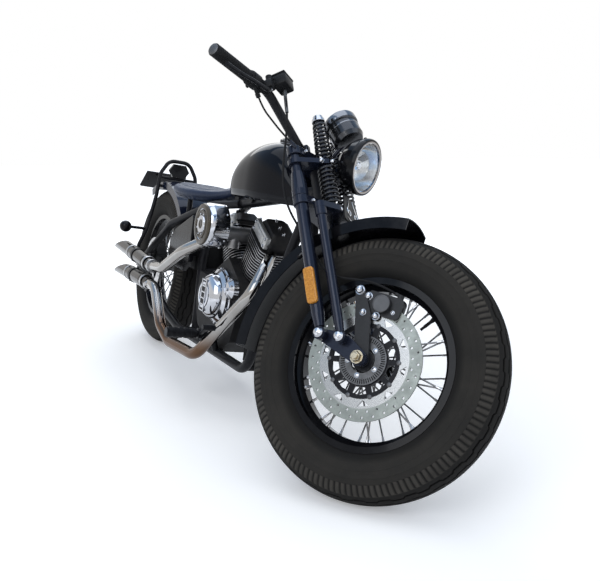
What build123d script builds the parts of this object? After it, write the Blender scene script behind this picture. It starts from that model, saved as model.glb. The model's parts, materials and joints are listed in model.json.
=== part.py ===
"""A cruiser motorcycle with a leading-link sprung fork, parked on its side stand.

Chassis parts are drawn in an upright frame: X forward from the rear axle, Y to the rider's
left, Z up from the floor.  Fork parts are drawn in a fork frame: X square to the steering
axis and forward, Z up along that axis, zero at the front wheel's centre.  At the end every
part is placed with the bars on their left stop and the machine leaning on its stand, and is
written as one STEP file.  Lengths are millimetres, angles degrees.
"""

import os
from math import asin, atan2, cos, degrees, radians, sin, sqrt, tan

from build123d import *

os.makedirs("parts", exist_ok=True)

# ---- driving dimensions ------------------------------------------------------------------
wheelbase = 1560.0
rake = 33.5  # steering axis, back from vertical
fork_offset = 61.0  # wheel centre ahead of the steering axis
axle_height = 330.0  # of both wheels, in the upright drawing frame
lean_angle = 10.0
steer_lock = 35.0  # to either side of straight ahead

tyre_radius = 330.0
tyre_section = 127.0  # round section, as on a balloon tyre
tyre_wall = 9.0
rim_width = 88.0
bead_radius = 203.0
flange_height = 12.0
rim_wall = 4.0
well_depth = 17.0
hub_radius = 26.0
hub_flange_radius = 36.0
hub_flange_offset = 34.0  # middle of a spoke flange, from the wheel's centre plane
hub_flange_thickness = 5.0
front_hub_half = 76.0
rear_hub_half = 92.0
spoke_radius = 2.1
spokes_per_row = 10
spoke_lay = 50.0  # degrees along the rim between a spoke's ends

front_disc_radius = 145.0
front_disc_offset = 68.0  # to the right of the centre plane
rear_disc_radius = 115.0
rear_disc_offset = 72.0
disc_thickness = 4.5
carrier_radius = 88.0
carrier_band = 13.0

tube_radius = 15.0  # chassis tubes
backbone_radius = 19.0
head_tube_radius = 27.0
head_tube_gap = 6.0  # between the head tube and each yoke
stem_radius = 17.0
rail_spread = 108.0  # lower rails, either side of the centre plane
cradle_height = 172.0
dropout_spread = 124.0
dropout_thickness = 10.0

leg_spread = 112.0  # fork legs, either side of the centre plane
rear_leg_setback = -81.0
spring_leg_setback = -31.0
rear_leg_radius = 17.0
rear_leg_top_radius = 14.0
spring_leg_radius = 12.5
rear_leg_foot = 79.0
spring_leg_foot = 56.0
mudguard_thickness = 2.5
guard_camber = 8.0  # crown above the shoulders
rear_guard_radius = tyre_radius + 22
rear_guard_half = 68.0
front_guard_radius = tyre_radius + 36
front_guard_half = 70.0
yoke_thickness = 24.0
yoke_spacing = 150.0  # from the low yoke's underside to the top yoke's
spring_setback = -18.0
spring_spread = 60.0
crossbar_thickness = 16.0
crossbar_height = front_guard_radius + guard_camber + 31  # underside, above the wheel centre
low_yoke_height = crossbar_height + crossbar_thickness + 11
top_yoke_height = low_yoke_height + yoke_spacing
head_tube_low = low_yoke_height + yoke_thickness + head_tube_gap
head_tube_high = top_yoke_height - head_tube_gap
bracket_height = top_yoke_height - 30
bracket_thickness = 14.0
bar_height = top_yoke_height + 166  # of the handlebar's outer bends
rocker_inside = 88.0
rocker_thickness = 12.0

crank_x = 850.0
crank_z = 345.0
case_half_width = 90.0
case_floor = 177.0
bank_angle = 30.0  # each cylinder bank from vertical
barrel_radius = 47.0
barrel_foot = 118.0  # from the crank, along the bank
barrel_length = 88.0
head_length = 90.0
fin_half_width = 65.0
fin_half_length = 68.0
fin_count = 9
fin_pitch = 9.4
fin_thickness = 3.6
clutch_radius = 86.0

front_axle_radius = 8.5
rear_axle_radius = 10.0
handlebar_radius = 12.5
grip_radius = 17.0
pipe_radius = 19.0
muffler_radius = 27.0

running_fit = 0.05  # shaft in a bore, on the radius
seat_gap = 0.3  # between pieces that seat on each other

# ---- frames of reference -----------------------------------------------------------------
rear_centre = Vector(0, 0, axle_height)
front_centre = Vector(wheelbase, 0, axle_height)
fork_forward = Vector(cos(radians(rake)), 0, sin(radians(rake)))
fork_up = Vector(-sin(radians(rake)), 0, cos(radians(rake)))
fork_frame = Plane(origin=front_centre, x_dir=fork_forward, z_dir=fork_up)
steering_foot = front_centre - fork_forward * fork_offset
left = Vector(0, 1, 0)


def turned(vector, axis, angle):
    """The vector turned about a direction through the origin."""
    a = radians(angle)
    return vector * cos(a) + axis.cross(vector) * sin(a) + axis * (axis.dot(vector) * (1 - cos(a)))


def tyre_touch(centre, axle, up):
    """Where a round-sectioned tyre touches a floor whose normal is up."""
    crown = tyre_section / 2
    radial = (up - axle * up.dot(axle)).normalized()
    return centre - radial * (tyre_radius - crown) - up * crown


def level_normal(pitch):
    """The floor's normal in the upright frame, at a pitch and the parked lean."""
    return Vector(pitch, -sin(radians(lean_angle)), cos(radians(lean_angle))).normalized()


steered_centre = steering_foot + turned(front_centre - steering_foot, fork_up, steer_lock)
steered_axle = turned(left, fork_up, steer_lock)
pitch = 0.0
for _ in range(8):  # settles the pitch at which both tyres touch the floor
    floor_up = level_normal(pitch)
    rear_touch = tyre_touch(rear_centre, left, floor_up)
    tyre_run = tyre_touch(steered_centre, steered_axle, floor_up) - rear_touch
    pitch -= tyre_run.dot(floor_up) / tyre_run.length
floor_up = level_normal(pitch)
rear_touch = tyre_touch(rear_centre, left, floor_up)
floor_forward = (Vector(1, 0, 0) - floor_up * floor_up.X).normalized()
floor = Plane(origin=rear_touch, x_dir=floor_forward, z_dir=floor_up)


def floor_under(x, y):
    """Height, in the upright frame, of the parked machine's floor at x and y."""
    rise = (x - rear_touch.X) * floor_up.X + (y - rear_touch.Y) * floor_up.Y
    return rear_touch.Z - rise / floor_up.Z


# ---- shared shapes -----------------------------------------------------------------------
def tube(points, radius, bend=40.0):
    """A round tube or rod along straight runs joined by bends."""
    with BuildPart() as made:
        with BuildLine() as path:
            if len(points) == 2:
                Line(*points)
            else:
                FilletPolyline(*points, radius=bend)
        with BuildSketch(Plane(origin=path.line @ 0, z_dir=path.line % 0)):
            Circle(radius)
        sweep()
    return made.part


def cord(points, radius):
    """A plain cord along a chosen route, each arc as large as its two runs allow."""
    corners = [Vector(*point) for point in points]
    radii = []
    for before, corner, after in zip(corners, corners[1:], corners[2:]):
        turn = radians((corner - before).get_angle(after - corner))
        shorter = min((corner - before).length, (after - corner).length)
        radii.append(0.45 * shorter / tan(turn / 2))
    print("cord radii", [round(value) for value in radii])
    return tube(corners, radius, radii)


def both_sides(points):
    """A run of points on the left, and its mirror on the right."""
    return [[(x, y, z) for x, y, z in points], [(x, -y, z) for x, y, z in points]]


def across(centre, side=1):
    """A plane square to Y at a point, with X forward, facing left (1) or right (-1)."""
    return Plane(origin=centre, x_dir=(1, 0, 0), z_dir=(0, side, 0))


def plate(outline, y, thickness):
    """A flat plate square to Y with a straight-edged outline, its middle at y."""
    with BuildPart() as made:
        with BuildSketch(Plane.XZ.offset(-y)):
            with BuildLine():
                Polyline(*outline, close=True)
            make_face()
        extrude(amount=thickness / 2, both=True)
    return made.part


def link(eyes, y, thickness):
    """A flat link square to Y round a row of (x, z, radius) eyes, its middle at y."""
    with BuildPart() as made:
        with BuildSketch(Plane.XZ.offset(-y)) as outline:
            for x, z, radius in eyes:
                with Locations((x, z)):
                    Circle(radius)
            make_hull(outline.edges())
        extrude(amount=thickness / 2, both=True)
    return made.part


def turning(profile, place):
    """A solid turned about a plane's normal, from (radius, height) corners."""
    with BuildPart() as made:
        with BuildSketch(Plane.XZ):
            with BuildLine():
                Polyline(*profile, close=True)
            make_face()
        revolve(axis=Axis.Z)
    return made.part.moved(place.location)


def pin(start, end, radius):
    """A straight round pin."""
    return tube([tuple(start), tuple(end)], radius)


def mirrored(shape):
    """The same shape on the other side of the centre plane."""
    return shape.mirror(Plane.XZ)


chassis = {}
fork = {}

# ---- wheels, drawn at their own centre ---------------------------------------------------
rim_inner = bead_radius - well_depth


def make_tyre():
    """A hollow balloon tyre, round outside, open at its beads."""
    crown = tyre_section / 2
    middle = tyre_radius - crown
    foot = bead_radius + seat_gap
    half = rim_width / 2 - rim_wall - seat_gap
    inner_crown = crown - tyre_wall
    inner_half = half - tyre_wall
    shoulder = middle - sqrt(crown**2 - half**2)
    inner_shoulder = middle - sqrt(inner_crown**2 - inner_half**2)
    with BuildPart() as made:
        with BuildSketch(Plane.YZ):
            with BuildLine():
                Line((half, foot), (half, shoulder))
                ThreePointArc((half, shoulder), (0, tyre_radius), (-half, shoulder))
                Polyline((-half, shoulder), (-half, foot), (-inner_half, foot))
                Line((-inner_half, foot), (-inner_half, inner_shoulder))
                ThreePointArc(
                    (-inner_half, inner_shoulder),
                    (0, tyre_radius - tyre_wall),
                    (inner_half, inner_shoulder),
                )
                Polyline((inner_half, inner_shoulder), (inner_half, foot), (half, foot))
            make_face()
        revolve(axis=Axis.Y)
    return made.part


def make_rim():
    """A drop-centre rim: rolled flanges, bead seats and a well for the spokes."""
    half = rim_width / 2
    top = bead_radius + flange_height
    w = rim_wall
    outside = [
        (half, top),
        (half, bead_radius - w),
        (half - 20, bead_radius - w),
        (half - 29, rim_inner),
    ]
    inside = [
        (half - 30, rim_inner + w),
        (half - 22, bead_radius),
        (half - w, bead_radius),
        (half - w, top),
    ]
    outline = outside + [(-y, z) for y, z in reversed(outside)]
    outline += [(-y, z) for y, z in reversed(inside)] + inside
    with BuildPart() as made:
        with BuildSketch(Plane.YZ):
            with BuildLine():
                Polyline(*outline, close=True)
            make_face()
        revolve(axis=Axis.Y)
    return made.part


def make_spokes():
    """Crossed spokes in four rows, from the hub's flanges to the rim's well."""
    lift = hub_flange_thickness / 2 + spoke_radius + seat_gap
    outer_lift = lift + 1.4  # an outer spoke slopes inwards over its flange's edge
    start_radius = hub_flange_radius - 4
    # columns: side, distance from the flange, lay along the rim, place across the rim
    rows = [
        (1, outer_lift, 1, 13),
        (1, -lift, -1, 6),
        (-1, outer_lift, -1, 13),
        (-1, -lift, 1, 6),
    ]
    spokes = []
    for row, (side, offset, lay, rim_place) in enumerate(rows):
        for n in range(spokes_per_row):
            foot_angle = radians(360 / spokes_per_row * (n + row / len(rows)))
            end_angle = foot_angle + radians(lay * spoke_lay)
            end_radius = rim_inner - 0.85
            foot = Vector(
                start_radius * cos(foot_angle),
                side * (hub_flange_offset + offset),
                start_radius * sin(foot_angle),
            )
            end = Vector(
                end_radius * cos(end_angle), side * rim_place, end_radius * sin(end_angle)
            )
            with BuildPart() as spoke:
                with BuildSketch(Plane(origin=foot, z_dir=end - foot)):
                    Circle(spoke_radius)
                extrude(amount=(end - foot).length)
            spokes.append(spoke.part)
    return Compound(children=spokes)


def make_hub(half_length, axle_radius):
    """A waisted hub with two spoke flanges, bored for its axle."""
    inner = hub_flange_offset - hub_flange_thickness / 2
    outer = hub_flange_offset + hub_flange_thickness / 2
    bore = axle_radius + running_fit
    outside = [
        (half_length, bore),
        (half_length, hub_radius),
        (outer, hub_radius),
        (outer, hub_flange_radius),
        (inner, hub_flange_radius),
        (inner, hub_radius),
    ]
    outline = outside + [(0, hub_radius - 6)] + [(-y, z) for y, z in reversed(outside)]
    with BuildPart() as made:
        with BuildSketch(Plane.YZ):
            with BuildLine():
                Polyline(*outline, close=True)
            make_face()
        revolve(axis=Axis.Y)
    return made.part


def make_disc(radius, offset, hole_count):
    """A brake disc: a drilled friction ring on a six-armed carrier."""
    with BuildPart() as made:
        with BuildSketch(across((0, -offset, 0))):
            Circle(radius)
            Circle(carrier_radius - carrier_band, mode=Mode.SUBTRACT)
            with PolarLocations((radius + carrier_radius) / 2, hole_count):
                Circle(4, mode=Mode.SUBTRACT)
            Circle(hub_radius + 14)
            with PolarLocations((hub_radius + carrier_radius) / 2, 6):
                Rectangle(carrier_radius - hub_radius, 14)
            Circle(hub_radius + seat_gap, mode=Mode.SUBTRACT)
        extrude(amount=disc_thickness / 2, both=True)
    return made.part


tyre = make_tyre()
rim = make_rim()
spokes = make_spokes()
fork["front_tyre"] = tyre
fork["front_rim"] = rim
fork["front_spokes"] = spokes
fork["front_hub"] = make_hub(front_hub_half, front_axle_radius)

sensor_ring_radius = 60.0
sensor_ring_thickness = 4.0
sensor_ring_offset = front_disc_offset + (disc_thickness + sensor_ring_thickness) / 2 + seat_gap
with BuildPart() as sensor_ring:
    with BuildSketch(across((0, -sensor_ring_offset, 0))):
        Circle(sensor_ring_radius)
        Circle(hub_radius + seat_gap, mode=Mode.SUBTRACT)
        with PolarLocations(sensor_ring_radius - 7, 36):
            Rectangle(8, 4, mode=Mode.SUBTRACT)
    extrude(amount=sensor_ring_thickness / 2, both=True)
front_disc = make_disc(front_disc_radius, front_disc_offset, 24)
fork["front_disc"] = Compound(children=[front_disc, sensor_ring.part])

to_rear = Location(rear_centre)
chassis["rear_tyre"] = tyre.moved(to_rear)
chassis["rear_rim"] = rim.moved(to_rear)
chassis["rear_spokes"] = Compound(children=[spoke.moved(to_rear) for spoke in spokes.children])
chassis["rear_hub"] = make_hub(rear_hub_half, rear_axle_radius).moved(to_rear)
chassis["rear_disc"] = make_disc(rear_disc_radius, rear_disc_offset, 18).moved(to_rear)

# ---- final drive: a chain on the left ----------------------------------------------------
chain_offset = 80.0
chain_width = 15.0
chain_depth = 12.0
chain_clearance = 0.6
rear_sprocket_radius = 98.0
rear_sprocket_teeth = 38
front_sprocket_radius = 36.0
front_sprocket_teeth = 14
sprocket_thickness = 7.0
front_sprocket_centre = Vector(crank_x - 185, chain_offset, crank_z)
rear_sprocket_centre = rear_centre + left * chain_offset


def make_sprocket(centre, radius, teeth, bore):
    """A toothed wheel square to Y, cut away between its bore and its teeth."""
    with BuildPart() as made:
        with BuildSketch(across(centre)):
            Circle(radius)
            with PolarLocations(radius, teeth):
                Circle(radius * 2.1 / teeth, mode=Mode.SUBTRACT)
            if bore:
                Circle(bore, mode=Mode.SUBTRACT)
                with PolarLocations(radius * 0.62, 6):
                    Circle(radius * 0.17, mode=Mode.SUBTRACT)
        extrude(amount=sprocket_thickness / 2, both=True)
    return made.part


chassis["rear_sprocket"] = make_sprocket(
    rear_sprocket_centre, rear_sprocket_radius, rear_sprocket_teeth, hub_radius + seat_gap
)

sprocket_span = front_sprocket_centre - rear_sprocket_centre
sprocket_tilt = atan2(sprocket_span.Z, sprocket_span.X)
chain_taper = asin((rear_sprocket_radius - front_sprocket_radius) / sprocket_span.length)


def chain_loop(grow):
    """Tangent points and end points of a run round both sprockets, grown outwards."""
    small = Vector(sprocket_span.X, sprocket_span.Z)
    tangents = []
    for angle in (radians(90) - chain_taper, chain_taper - radians(90)):
        out = Vector(cos(sprocket_tilt + angle), sin(sprocket_tilt + angle))
        tangents.append(
            (out * (rear_sprocket_radius + grow), small + out * (front_sprocket_radius + grow))
        )
    ahead = Vector(cos(sprocket_tilt), sin(sprocket_tilt))
    nose = small + ahead * (front_sprocket_radius + grow)
    return tangents, ahead * -(rear_sprocket_radius + grow), nose


with BuildPart() as drive_chain:
    for grow, how in ((chain_clearance + chain_depth, Mode.ADD), (chain_clearance, Mode.SUBTRACT)):
        (upper, lower), back, nose = chain_loop(grow)
        with BuildSketch(Plane(origin=rear_sprocket_centre, x_dir=(1, 0, 0), z_dir=(0, -1, 0))):
            with BuildLine():
                Line(upper[0], upper[1])
                ThreePointArc(upper[1], nose, lower[1])
                Line(lower[1], lower[0])
                ThreePointArc(lower[0], back, upper[0])
            make_face()
        extrude(amount=chain_width / 2, both=True, mode=how)

sprocket_pocket_floor = chain_offset - chain_width / 2 - 8
front_sprocket = make_sprocket(
    front_sprocket_centre, front_sprocket_radius, front_sprocket_teeth, 0
)
with BuildPart() as output_sprocket:
    add(front_sprocket)
    add(
        pin(
            front_sprocket_centre,
            (front_sprocket_centre.X, sprocket_pocket_floor + seat_gap, front_sprocket_centre.Z),
            16,
        )
    )
chassis["drive_chain"] = Compound(children=[drive_chain.part, output_sprocket.part])

# ---- engine ------------------------------------------------------------------------------
crank = Vector(crank_x, 0, crank_z)
bank_up = {
    "front": Vector(sin(radians(bank_angle)), 0, cos(radians(bank_angle))),
    "rear": Vector(-sin(radians(bank_angle)), 0, cos(radians(bank_angle))),
}
bank_out = {
    "front": Vector(cos(radians(bank_angle)), 0, -sin(radians(bank_angle))),
    "rear": Vector(-cos(radians(bank_angle)), 0, -sin(radians(bank_angle))),
}
head_foot = barrel_foot + barrel_length
head_top = head_foot + head_length
valley = crank + Vector(0, 0, barrel_foot / cos(radians(bank_angle)))
deck_end = {bank: crank + bank_up[bank] * barrel_foot + bank_out[bank] * 50 for bank in bank_up}
sprocket_pocket_front = front_sprocket_centre.X + 70

with BuildPart() as crankcase:
    with BuildSketch(Plane.XZ):
        with BuildLine():
            Polyline(
                (deck_end["rear"].X, deck_end["rear"].Z),
                (valley.X, valley.Z),
                (deck_end["front"].X, deck_end["front"].Z),
                (crank_x + 128, crank_z - 15),
                (crank_x + 96, crank_z - 120),
                (crank_x + 30, case_floor),
                (crank_x - 110, case_floor),
                (crank_x - 200, crank_z - 120),
                (crank_x - 240, crank_z - 40),
                (crank_x - 232, crank_z + 55),
                (crank_x - 150, crank_z + 50),
                close=True,
            )
        make_face()
    extrude(amount=case_half_width, both=True)
    fillet(crankcase.edges().filter_by(Axis.Y).sort_by(Axis.Z)[:6], 14)
    with BuildSketch(across((sprocket_pocket_front, sprocket_pocket_floor, crank_z))):
        Rectangle(300, 134, align=(Align.MAX, Align.CENTER))  # room for the chain
    extrude(amount=60, mode=Mode.SUBTRACT)
chassis["engine_case"] = crankcase.part


def bank_plane(bank, distance):
    """A plane across a cylinder bank, at a distance from the crank."""
    return Plane(
        origin=crank + bank_up[bank] * distance, x_dir=(0, 1, 0), z_dir=bank_up[bank]
    )


def make_cylinder(bank):
    """A finned barrel under a finned head with its rocker cover."""
    wide = 2 * fin_half_width
    long = 2 * fin_half_length
    with BuildPart() as made:
        with BuildSketch(bank_plane(bank, barrel_foot)):
            Circle(barrel_radius)
        extrude(amount=barrel_length + 2)
        for n in range(fin_count):
            with BuildSketch(bank_plane(bank, barrel_foot + 5 + n * fin_pitch)):
                RectangleRounded(wide, long, fin_half_width * 0.72)
            extrude(amount=fin_thickness)
        with BuildSketch(bank_plane(bank, head_foot + 2)):
            RectangleRounded(wide - 30, long - 16, 22)
        extrude(amount=head_length - 32)
        for n in range(4):
            with BuildSketch(bank_plane(bank, head_foot + 4 + n * fin_pitch)):
                RectangleRounded(wide - 4, long + 4, 26)
            extrude(amount=fin_thickness)
        with BuildSketch(bank_plane(bank, head_top - 36)):
            RectangleRounded(wide - 30, long - 4, 18)
        with BuildSketch(bank_plane(bank, head_top)):
            RectangleRounded(wide - 62, long - 44, 14)
        loft()
    return made.part


cylinders = {bank: make_cylinder(bank) for bank in bank_up}
chassis["cylinders"] = Compound(children=list(cylinders.values()))


def make_cover(side, radius, depth, x, z):
    """A domed round engine cover, stepped like a pressure plate."""
    step = (radius * 0.86, depth * 0.45)
    crown = (radius * 0.48, depth)
    with BuildPart() as made:
        with BuildSketch(Plane.XY):
            with BuildLine():
                Polyline((0, depth), (0, 0), (radius, 0), (radius, depth * 0.3), step)
                ThreePointArc(step, (radius * 0.73, depth * 0.84), crown)
                Line(crown, (0, depth))
            make_face()
        revolve(axis=Axis.Y)
    shape = made.part if side > 0 else mirrored(made.part)
    return shape.moved(Location((x, side * (case_half_width + seat_gap), z)))


timing_place = Plane(
    origin=(crank_x + 84, -case_half_width - seat_gap, crank_z + 46), z_dir=(0, -1, 0)
)
timing_cover = turning([(0, 0), (33, 0), (33, 16), (20, 28), (0, 31)], timing_place)

sprocket_cover_inside = chain_offset + chain_width / 2 + 8
with BuildPart() as sprocket_cover:
    with BuildSketch(across((front_sprocket_centre.X + 9, case_half_width + seat_gap, crank_z))):
        RectangleRounded(150, 158, 46)
    extrude(amount=sprocket_cover_inside + 6 - case_half_width)
    fillet(sprocket_cover.faces().sort_by(Axis.Y)[-1].edges(), 5)
    with BuildSketch(across((front_sprocket_centre.X - 16, case_half_width, crank_z))):
        Rectangle(166, 128)
    extrude(amount=sprocket_cover_inside - case_half_width, mode=Mode.SUBTRACT)
chassis["engine_covers"] = Compound(
    children=[
        make_cover(-1, clutch_radius, 60, crank_x - 18, crank_z + 6),
        make_cover(1, clutch_radius - 8, 36, crank_x + 16, crank_z),
        timing_cover,
        sprocket_cover.part,
    ]
)

# ---- intake: a drum air cleaner on the right, between the banks --------------------------
cleaner_centre = Vector(824, -118, 574)
cleaner_radius = 70.0
cleaner_depth = 70.0

with BuildPart() as air_cleaner:
    with BuildSketch(Plane.XY):
        r, t = cleaner_radius, cleaner_depth
        with BuildLine():
            Polyline((0, t + 3), (0, 0), (r, 0), (r, t - 24))
            ThreePointArc((r, t - 24), (r - 6, t - 8), (r - 20, t))
            Polyline((r - 20, t), (r - 24, t - 3), (r - 40, t - 3), (r - 43, t + 3), (0, t + 3))
        make_face()
    revolve(axis=Axis.Y)
chassis["air_cleaner"] = mirrored(air_cleaner.part).moved(Location(cleaner_centre))

carburettor_x = crank_x - 4
with BuildPart() as carburettor:
    with BuildSketch(across((carburettor_x, cleaner_centre.Y + seat_gap, 556))):
        Circle(25)
    extrude(amount=104)
    with BuildSketch(Plane.XY.offset(512)):
        with Locations((carburettor_x, -82)):
            Circle(22)
    extrude(amount=50)
    with BuildSketch(Plane.YZ.offset(crank_x - 75)):
        with Locations((-14, 548)):
            Circle(17)
    extrude(amount=150)
    for bank in cylinders:
        add(cylinders[bank], mode=Mode.SUBTRACT)
chassis["carburettor"] = carburettor.part.solids().sort_by(SortBy.VOLUME)[-1]

# ---- exhaust: each bank has its own pipe and slash-cut muffler ---------------------------
muffler_wall = 2.0
muffler_neck = 70.0  # length of the cone before the straight
slash_length = 150.0
upper_muffler = (Vector(395, -196, 372), Vector(-92, -206, 402))
lower_muffler = (Vector(395, -196, 306), Vector(-58, -206, 304))
front_port = crank + bank_up["front"] * (head_foot + 24) + bank_out["front"] * 58 - left * 24
rear_port = crank + bank_up["rear"] * (head_foot + 24) - left * (fin_half_width - 12)

lower_pipe = [
    tuple(front_port),
    (1062, -62, 480),
    (1092, -104, 408),
    (868, -166, 160),
    (660, -184, 152),
    (560, -190, 190),
    (470, -196, 306),
    tuple(lower_muffler[0]),
]
upper_pipe = [
    tuple(rear_port),
    (742, -140, 512),
    (690, -188, 470),
    (520, -196, 384),
    tuple(upper_muffler[0]),
]


def make_exhaust(pipe, bends, muffler, bank):
    """A bent pipe with its muffler, the open end cut on a long slant that faces up."""
    start, tip = muffler
    along = (tip - start).normalized()
    length = (tip - start).length
    neck = start + along * muffler_neck
    with BuildPart() as made:
        with BuildSketch(Plane(origin=start, z_dir=along)):
            Circle(pipe_radius + 2)
        with BuildSketch(Plane(origin=neck, z_dir=along)):
            Circle(muffler_radius)
        loft()
        with BuildSketch(Plane(origin=neck, z_dir=along)):
            Circle(muffler_radius)
        extrude(amount=length - muffler_neck)
        with BuildSketch(Plane(origin=neck, z_dir=along)):
            Circle(muffler_radius - muffler_wall)
        extrude(amount=length - muffler_neck + 5, mode=Mode.SUBTRACT)
        add(tube(pipe, pipe_radius, bends))
        r = muffler_radius + 2
        slash = [
            (tip.X, tip.Z - r),
            (tip.X + slash_length, tip.Z + r),
            (tip.X - 40, tip.Z + 2 * r),
            (tip.X - 40, tip.Z - r),
        ]
        add(plate(slash, tip.Y, 6 * muffler_radius), mode=Mode.SUBTRACT)
        add(cylinders[bank], mode=Mode.SUBTRACT)
    return made.part


chassis["exhausts"] = Compound(
    children=[
        make_exhaust(lower_pipe, [60, 60, 90, 80, 80, 60], lower_muffler, "front"),
        make_exhaust(upper_pipe, [50, 80, 90], upper_muffler, "rear"),
    ]
)

# ---- seat: a solo saddle -----------------------------------------------------------------
# columns: x, half width, underside, top
seat_sections = [
    (225, 92, 655, 690),
    (290, 128, 640, 688),
    (380, 136, 634, 680),
    (480, 112, 636, 678),
    (580, 66, 654, 688),
    (700, 38, 692, 714),
]
with BuildPart() as seat:
    for x, half, low, high in seat_sections:
        with BuildSketch(Plane.YZ.offset(x)):
            with Locations((0, (low + high) / 2)):
                RectangleRounded(2 * half, high - low, 10)
    loft(ruled=True)
chassis["seat"] = seat.part

# ---- frame: a rigid cradle ---------------------------------------------------------------
head_low = steering_foot + fork_up * head_tube_low
head_high = steering_foot + fork_up * head_tube_high
head_mid = (head_low + head_high) * 0.5
seat_junction = Vector(700, 0, 655)
backbone_start = head_mid - fork_forward * 6
neck_top = steering_foot + fork_up * (head_tube_low + 58) - fork_forward * 12
neck_bend = steering_foot + fork_up * head_tube_low - fork_forward * 100  # clear of the low yoke
cradle = [
    (neck_top.X, 10, neck_top.Z),
    (neck_bend.X, 20, neck_bend.Z),
    (1118, 78, 300),
    (1085, 84, cradle_height),
    (520, rail_spread, cradle_height),
    (390, rail_spread + 6, cradle_height + 28),
    (40, dropout_spread, axle_height - 14),
]
seat_stay = [
    (seat_junction.X + 6, 14, seat_junction.Z - 4),
    (560, 64, 628),
    (300, 112, 530),
    (30, dropout_spread, axle_height + 22),
]
seat_post = [(560, 52, 622), (520, 50, 420), (540, 50, cradle_height + 2)]  # inside the chain

stand_pivot = Vector(600, 150, 160)
stand_hinge = Vector(0.033, 0.502, 0.848).normalized()
stand_pin_radius = 6.0
stand_boss_radius = 14.0
stand_boss_half = 10.0
stand_lug_thickness = 8.0

rear_guard_span = (38.0, 118.0)  # degrees above straight forward, round the wheel
bobbin_radius = 9.0
bobbins = (815, 1120)  # places along the backbone that carry the tank
tunnel_half = 27.0
engine_bed = (760, 800)
front_mount_offset = 40.0
guard_tube_x = rear_guard_radius - 22  # cross tube ahead of the rear mudguard
guard_tube_z = 541
dropout = [
    (-40, axle_height - 12),
    (-40, axle_height + 46),
    (20, axle_height + 52),
    (110, axle_height + 66),
    (92, axle_height - 36),
    (20, axle_height - 24),
]
# columns: x, z, half length, radius of the cross tubes
cross_tubes = [
    (545, cradle_height, rail_spread, 11),
    (1040, cradle_height, rail_spread - 20, 11),
    (1118, 300, 78, 9),
    (518, 390, 60, 9),
    (guard_tube_x, guard_tube_z, 106, 9),
]


def backbone_height(x):
    """Height of the backbone's centre line at x."""
    share = (x - seat_junction.X) / (backbone_start.X - seat_junction.X)
    return seat_junction.Z + share * (backbone_start.Z - seat_junction.Z)


with BuildPart() as guard_tab:  # carries the rear mudguard's front end
    add(pin((guard_tube_x, 0, guard_tube_z), (guard_tube_x - 58, 0, guard_tube_z + 23), 7))
    blade_crown = rear_guard_radius + guard_camber + seat_gap
    add(pin(rear_centre - left * 20, rear_centre + left * 20, blade_crown), mode=Mode.SUBTRACT)

with BuildPart() as frame:
    add(guard_tab.part)
    for run, bends in ((cradle, [50, 90, 60, 80, 80]), (seat_stay, [60, 90]), (seat_post, 70)):
        for points in both_sides(run):
            add(tube(points, tube_radius, bends))
    add(pin(backbone_start, seat_junction, backbone_radius))
    add(pin(head_low, head_high, head_tube_radius))
    for x, z, half, radius in cross_tubes:
        add(pin((x, -half, z), (x, half, z), radius))
    for x in bobbins:
        z = backbone_height(x)
        add(pin((x, seat_gap - tunnel_half, z), (x, tunnel_half - seat_gap, z), bobbin_radius))
    with BuildSketch(Plane.XY.offset(cradle_height - 8)):  # plate under the engine
        with Locations(((engine_bed[0] + engine_bed[1]) / 2, 0)):
            Rectangle(engine_bed[1] - engine_bed[0], 2 * rail_spread - 16)
    extrude(amount=case_floor - (cradle_height - 8))
    for side in (1, -1):
        add(plate([(1118, 288), (1118, 312), (950, 350), (950, 322)], side * front_mount_offset, 8))
        add(plate(dropout, side * dropout_spread, dropout_thickness))
        add(pin((guard_tube_x, side * 60, guard_tube_z), (guard_tube_x, side * 60, 650), 10))
    with BuildSketch(Plane.XY.offset(640)):  # pad under the saddle's nose
        with Locations((678, 0)):
            Rectangle(34, 40)
    extrude(amount=58)
    add(seat.part.moved(Location((0, 0, -seat_gap))), mode=Mode.SUBTRACT)
    # the stand's lug, its pin and the pin's head
    lug_face = stand_pivot + stand_hinge * (stand_boss_half + seat_gap)
    pin_foot = stand_pivot - stand_hinge * (stand_boss_half + seat_gap)
    lug_inwards = left.cross(stand_hinge).cross(stand_hinge).normalized()
    with BuildSketch(Plane(origin=lug_face, x_dir=lug_inwards, z_dir=stand_hinge)) as lug_outline:
        Circle(stand_boss_radius)
        with Locations((34, 0)):
            Circle(12)
        make_hull(lug_outline.edges())
    extrude(amount=stand_lug_thickness)
    add(pin(lug_face, pin_foot, stand_pin_radius))
    add(pin(pin_foot, pin_foot - stand_hinge * 6, stand_pin_radius + 4))
    lug_middle = lug_face + stand_hinge * (stand_lug_thickness / 2) + lug_inwards * 34
    add(pin(lug_middle, (stand_pivot.X, rail_spread, cradle_height + 4), 8))
    # bores
    add(pin(head_low - fork_up, head_high + fork_up, stem_radius + running_fit), mode=Mode.SUBTRACT)
    axle_reach = left * (dropout_spread + 40)
    add(
        pin(rear_centre - axle_reach, rear_centre + axle_reach, rear_axle_radius + running_fit),
        mode=Mode.SUBTRACT,
    )
    add(crankcase.part, mode=Mode.SUBTRACT)
chassis["frame"] = frame.part

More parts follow.
